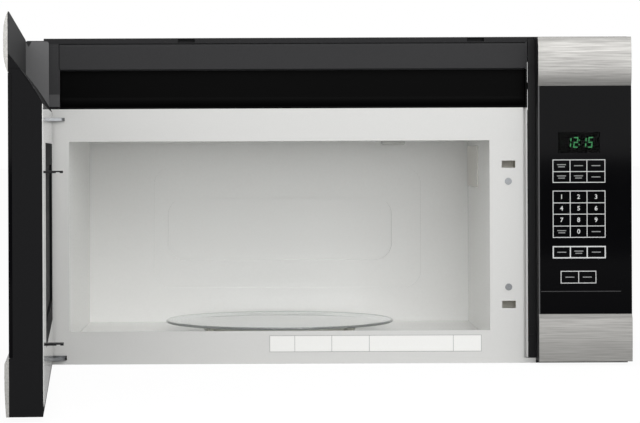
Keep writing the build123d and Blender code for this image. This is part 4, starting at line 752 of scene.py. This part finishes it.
    def clock(self) -> None:
        """Builds the lit digits behind the smoked window."""
        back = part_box("display_module")[0].y
        depth = (back - 2 * PRINT_T, back - PRINT_T / 2)
        lit = bmesh.new()
        low, high = self.clock_z
        middle = (low + high) / 2
        cut = self.segment
        for numeral, x in zip("1215", self.clock_x):
            places = {
                "a": ((0, self.clock_width), (high - cut, high)),
                "g": ((0, self.clock_width), (middle - cut / 2, middle + cut / 2)),
                "d": ((0, self.clock_width), (low, low + cut)),
                "f": ((0, cut), (middle + cut, high - cut)),
                "b": ((self.clock_width - cut, self.clock_width), (middle + cut, high - cut)),
                "e": ((0, cut), (low + cut, middle - cut)),
                "c": ((self.clock_width - cut, self.clock_width), (low + cut, middle - cut)),
            }
            for key in self.segments(numeral):
                (x0, x1), (z0, z1) = places[key]
                corners = [(x0, z0), (x1, z0), (x1, z1), (x0, z1)]
                add_prism(lit, [(x + u + self.slant * (z - low), z) for u, z in corners], depth)
        dot = self.colon_dot
        for z in (middle - self.colon_rise, middle + self.colon_rise):
            x = self.colon_x + self.slant * (z - low)
            below, above = z - dot / 2, z + dot / 2
            add_prism(lit, [(x, below), (x + dot, below), (x + dot, above), (x, above)], depth)
        finish_piece(lit, "clock_digits", LED_GREEN, "oven")
        dim = bmesh.new()
        x, (wide, tall) = self.indicator_x, self.indicator_size
        below, above = middle - tall / 2, middle + tall / 2
        add_prism(dim, [(x, below), (x + wide, below), (x + wide, above), (x, above)], depth)
        finish_piece(dim, "clock_indicator", LED_DIM, "oven")

    def build(self) -> None:
        """Dresses the panel, prints the keypad and lights the clock."""
        self.dress()
        self.keypad()
        self.clock()


@dataclass
class Hinges(SubAssembly):
    """Brackets, pins and bushes."""

    finishes: dict[str, Finish] = field(default_factory=lambda: {
        "hinge_brackets": ZINC_BRIGHT,
        "hinge_pins": ZINC_BRIGHT, "hinge_bushes": NYLON_WHITE,
    })


@dataclass
class Door(SubAssembly):
    """The side-hinged door with its bands, glass, screen and latch."""

    finishes: dict[str, Finish] = field(default_factory=lambda: {
        "door_frame": ABS_MATT, "door_inner_pan": PAN_ENAMEL,
        "door_choke_cover": ABS_MATT, "door_screen": SCREEN_PUNCHED,
        "door_glass": GLASS_BLACK, "door_top_band": STEEL_DOOR,
        "door_bottom_band": STEEL_DOOR, "door_end_cap": ABS_GREY,
        "latch_slide": ABS_BLACK, "latch_spring": STEEL_WIRE,
    })


# ---------------------------------------------------------------- studio
@dataclass(frozen=True)
class SoftLight:
    """A rectangular soft lamp, aimed at a point."""

    name: str
    place: Corner
    aim: Corner
    size: Span
    power: float

    def build(self) -> None:
        """Adds the lamp to the scene."""
        data = bpy.data.lights.new(self.name, "AREA")
        data.shape = "RECTANGLE"
        data.size, data.size_y = self.size
        data.energy = self.power
        lamp = bpy.data.objects.new(self.name, data)
        bpy.context.scene.collection.objects.link(lamp)
        lamp.location = self.place
        aim = Vector(self.aim) - Vector(self.place)
        lamp.rotation_euler = aim.to_track_quat("-Z", "Y").to_euler()


@dataclass
class Studio:
    """Camera, lamps, pale floor and white surroundings."""

    image: tuple[int, int] = (640, 423)
    sensor_mm: float = 36.0
    focal_px: float = 2333.7
    principal_px: Span = (273.0, 148.0)  # where the view axis meets the picture
    eye: Corner = (-0.0815, -3.397, 0.2813)
    roll_deg: float = 0.23
    ambient: float = 0.34
    floor_half: float = 30.0
    floor_drop: float = 0.0005  # the floor lies this far under the object
    floor_white: float = 0.9  # share of plain white that the camera sees in the floor
    floor_glow: float = 1.05
    lamps: tuple[SoftLight, ...] = (
        SoftLight("lamp_front", (0.3, -3.2, 1.2), (-0.07, -0.1, 0.15), (2.8, 2.0), 60.0),
        SoftLight("lamp_left", (-1.7, -2.3, 1.9), (-0.1, -0.3, 0.2), (1.5, 1.2), 6.0),
        SoftLight("lamp_right", (1.6, -2.4, 1.8), (0.1, -0.3, 0.2), (1.5, 1.2), 4.0),
        SoftLight("lamp_top", (0.0, -0.4, 2.6), (0.0, -0.3, 0.2), (2.4, 1.6), 12.0),
    )

    def camera(self) -> None:
        """Sets the camera where the photograph was taken from."""
        data = bpy.data.cameras.new("camera")
        wide, high = self.image
        data.sensor_width = self.sensor_mm
        data.sensor_fit = "HORIZONTAL"
        data.lens = self.focal_px * self.sensor_mm / wide
        data.shift_x = (wide / 2 - self.principal_px[0]) / wide
        data.shift_y = (self.principal_px[1] - high / 2) / wide
        data.clip_end = 100.0
        view = bpy.data.objects.new("camera", data)
        bpy.context.scene.collection.objects.link(view)
        view.location = self.eye
        view.rotation_euler = (math.pi / 2, math.radians(self.roll_deg), 0.0)
        bpy.context.scene.camera = view

    def world(self) -> None:
        """Makes the surroundings.

        They are white to the eye, in mirrors and through glass, and give a softer light else.
        """
        world = bpy.data.worlds.new("studio")
        world.use_nodes = True
        bpy.context.scene.world = world
        tree = world.node_tree
        tree.nodes.clear()
        path = add_node(tree, "ShaderNodeLightPath")
        level: bpy.types.NodeSocket = path.outputs["Is Camera Ray"]
        for kind in ("Is Glossy Ray", "Is Transmission Ray"):
            level = add_node(
                tree, "ShaderNodeMath", {"operation": "MAXIMUM"},
                {0: level, 1: path.outputs[kind]},
            ).outputs["Value"]
        level = add_node(
            tree, "ShaderNodeMix", {"data_type": "FLOAT", 2: self.ambient, 3: 1.0}, {0: level}
        ).outputs[0]
        light = add_node(
            tree, "ShaderNodeBackground", {"Color": linear("ffffff")},
            {"Strength": level},
        )
        add_node(tree, "ShaderNodeOutputWorld", links={"Surface": light.outputs["Background"]})

    def floor(self) -> None:
        """Lays the pale floor, which looks white and keeps a faint shadow."""
        sheet = bmesh.new()
        bmesh.ops.create_grid(sheet, x_segments=1, y_segments=1, size=self.floor_half)
        data = bpy.data.meshes.new("floor")
        sheet.to_mesh(data)
        sheet.free()
        floor = bpy.data.objects.new("floor", data)
        floor.location.z = CAD_BOX[0][2] - self.floor_drop
        bpy.context.scene.collection.objects.link(floor)
        paint = bpy.data.materials.new("floor_pale")
        paint.use_nodes = True
        tree = paint.node_tree
        tree.nodes.clear()
        path = add_node(tree, "ShaderNodeLightPath")
        matt = add_node(tree, "ShaderNodeBsdfDiffuse", {"Color": linear("e0e0e0")})
        white = add_node(tree, "ShaderNodeEmission", {"Strength": self.floor_glow})
        seen = add_node(
            tree, "ShaderNodeMath", {"operation": "MULTIPLY", 1: self.floor_white},
            {0: path.outputs["Is Camera Ray"]},
        )
        both = add_node(
            tree, "ShaderNodeMixShader",
            links={0: seen.outputs["Value"], 1: matt.outputs["BSDF"],
                   2: white.outputs["Emission"]},
        )
        add_node(tree, "ShaderNodeOutputMaterial", links={"Surface": both.outputs["Shader"]})
        data.materials.append(paint)

    def build(self) -> None:
        """Sets up the whole studio."""
        bpy.context.scene.view_settings.view_transform = "Standard"
        self.camera()
        self.world()
        self.floor()
        for lamp in self.lamps:
            lamp.build()


def main() -> None:
    """Builds the sub-assemblies in order, then the studio."""
    logging.basicConfig(level=logging.INFO, format="%(name)s: %(message)s")
    groups: tuple[SubAssembly, ...] = (
        Chassis(), Cavity(), Turntable(), AirPath(), MicrowaveSource(), Underside(),
        Interlock(), ControlPanel(), Hinges(), Door(),
    )
    for group in groups:
        group.build()
    dressed = {node for group in groups for node in group.finishes}
    for node in sorted(set(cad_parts) - dressed):
        LOG.warning("no finish for %s", node)
    Studio().build()


if __name__ == "__main__":
    main()
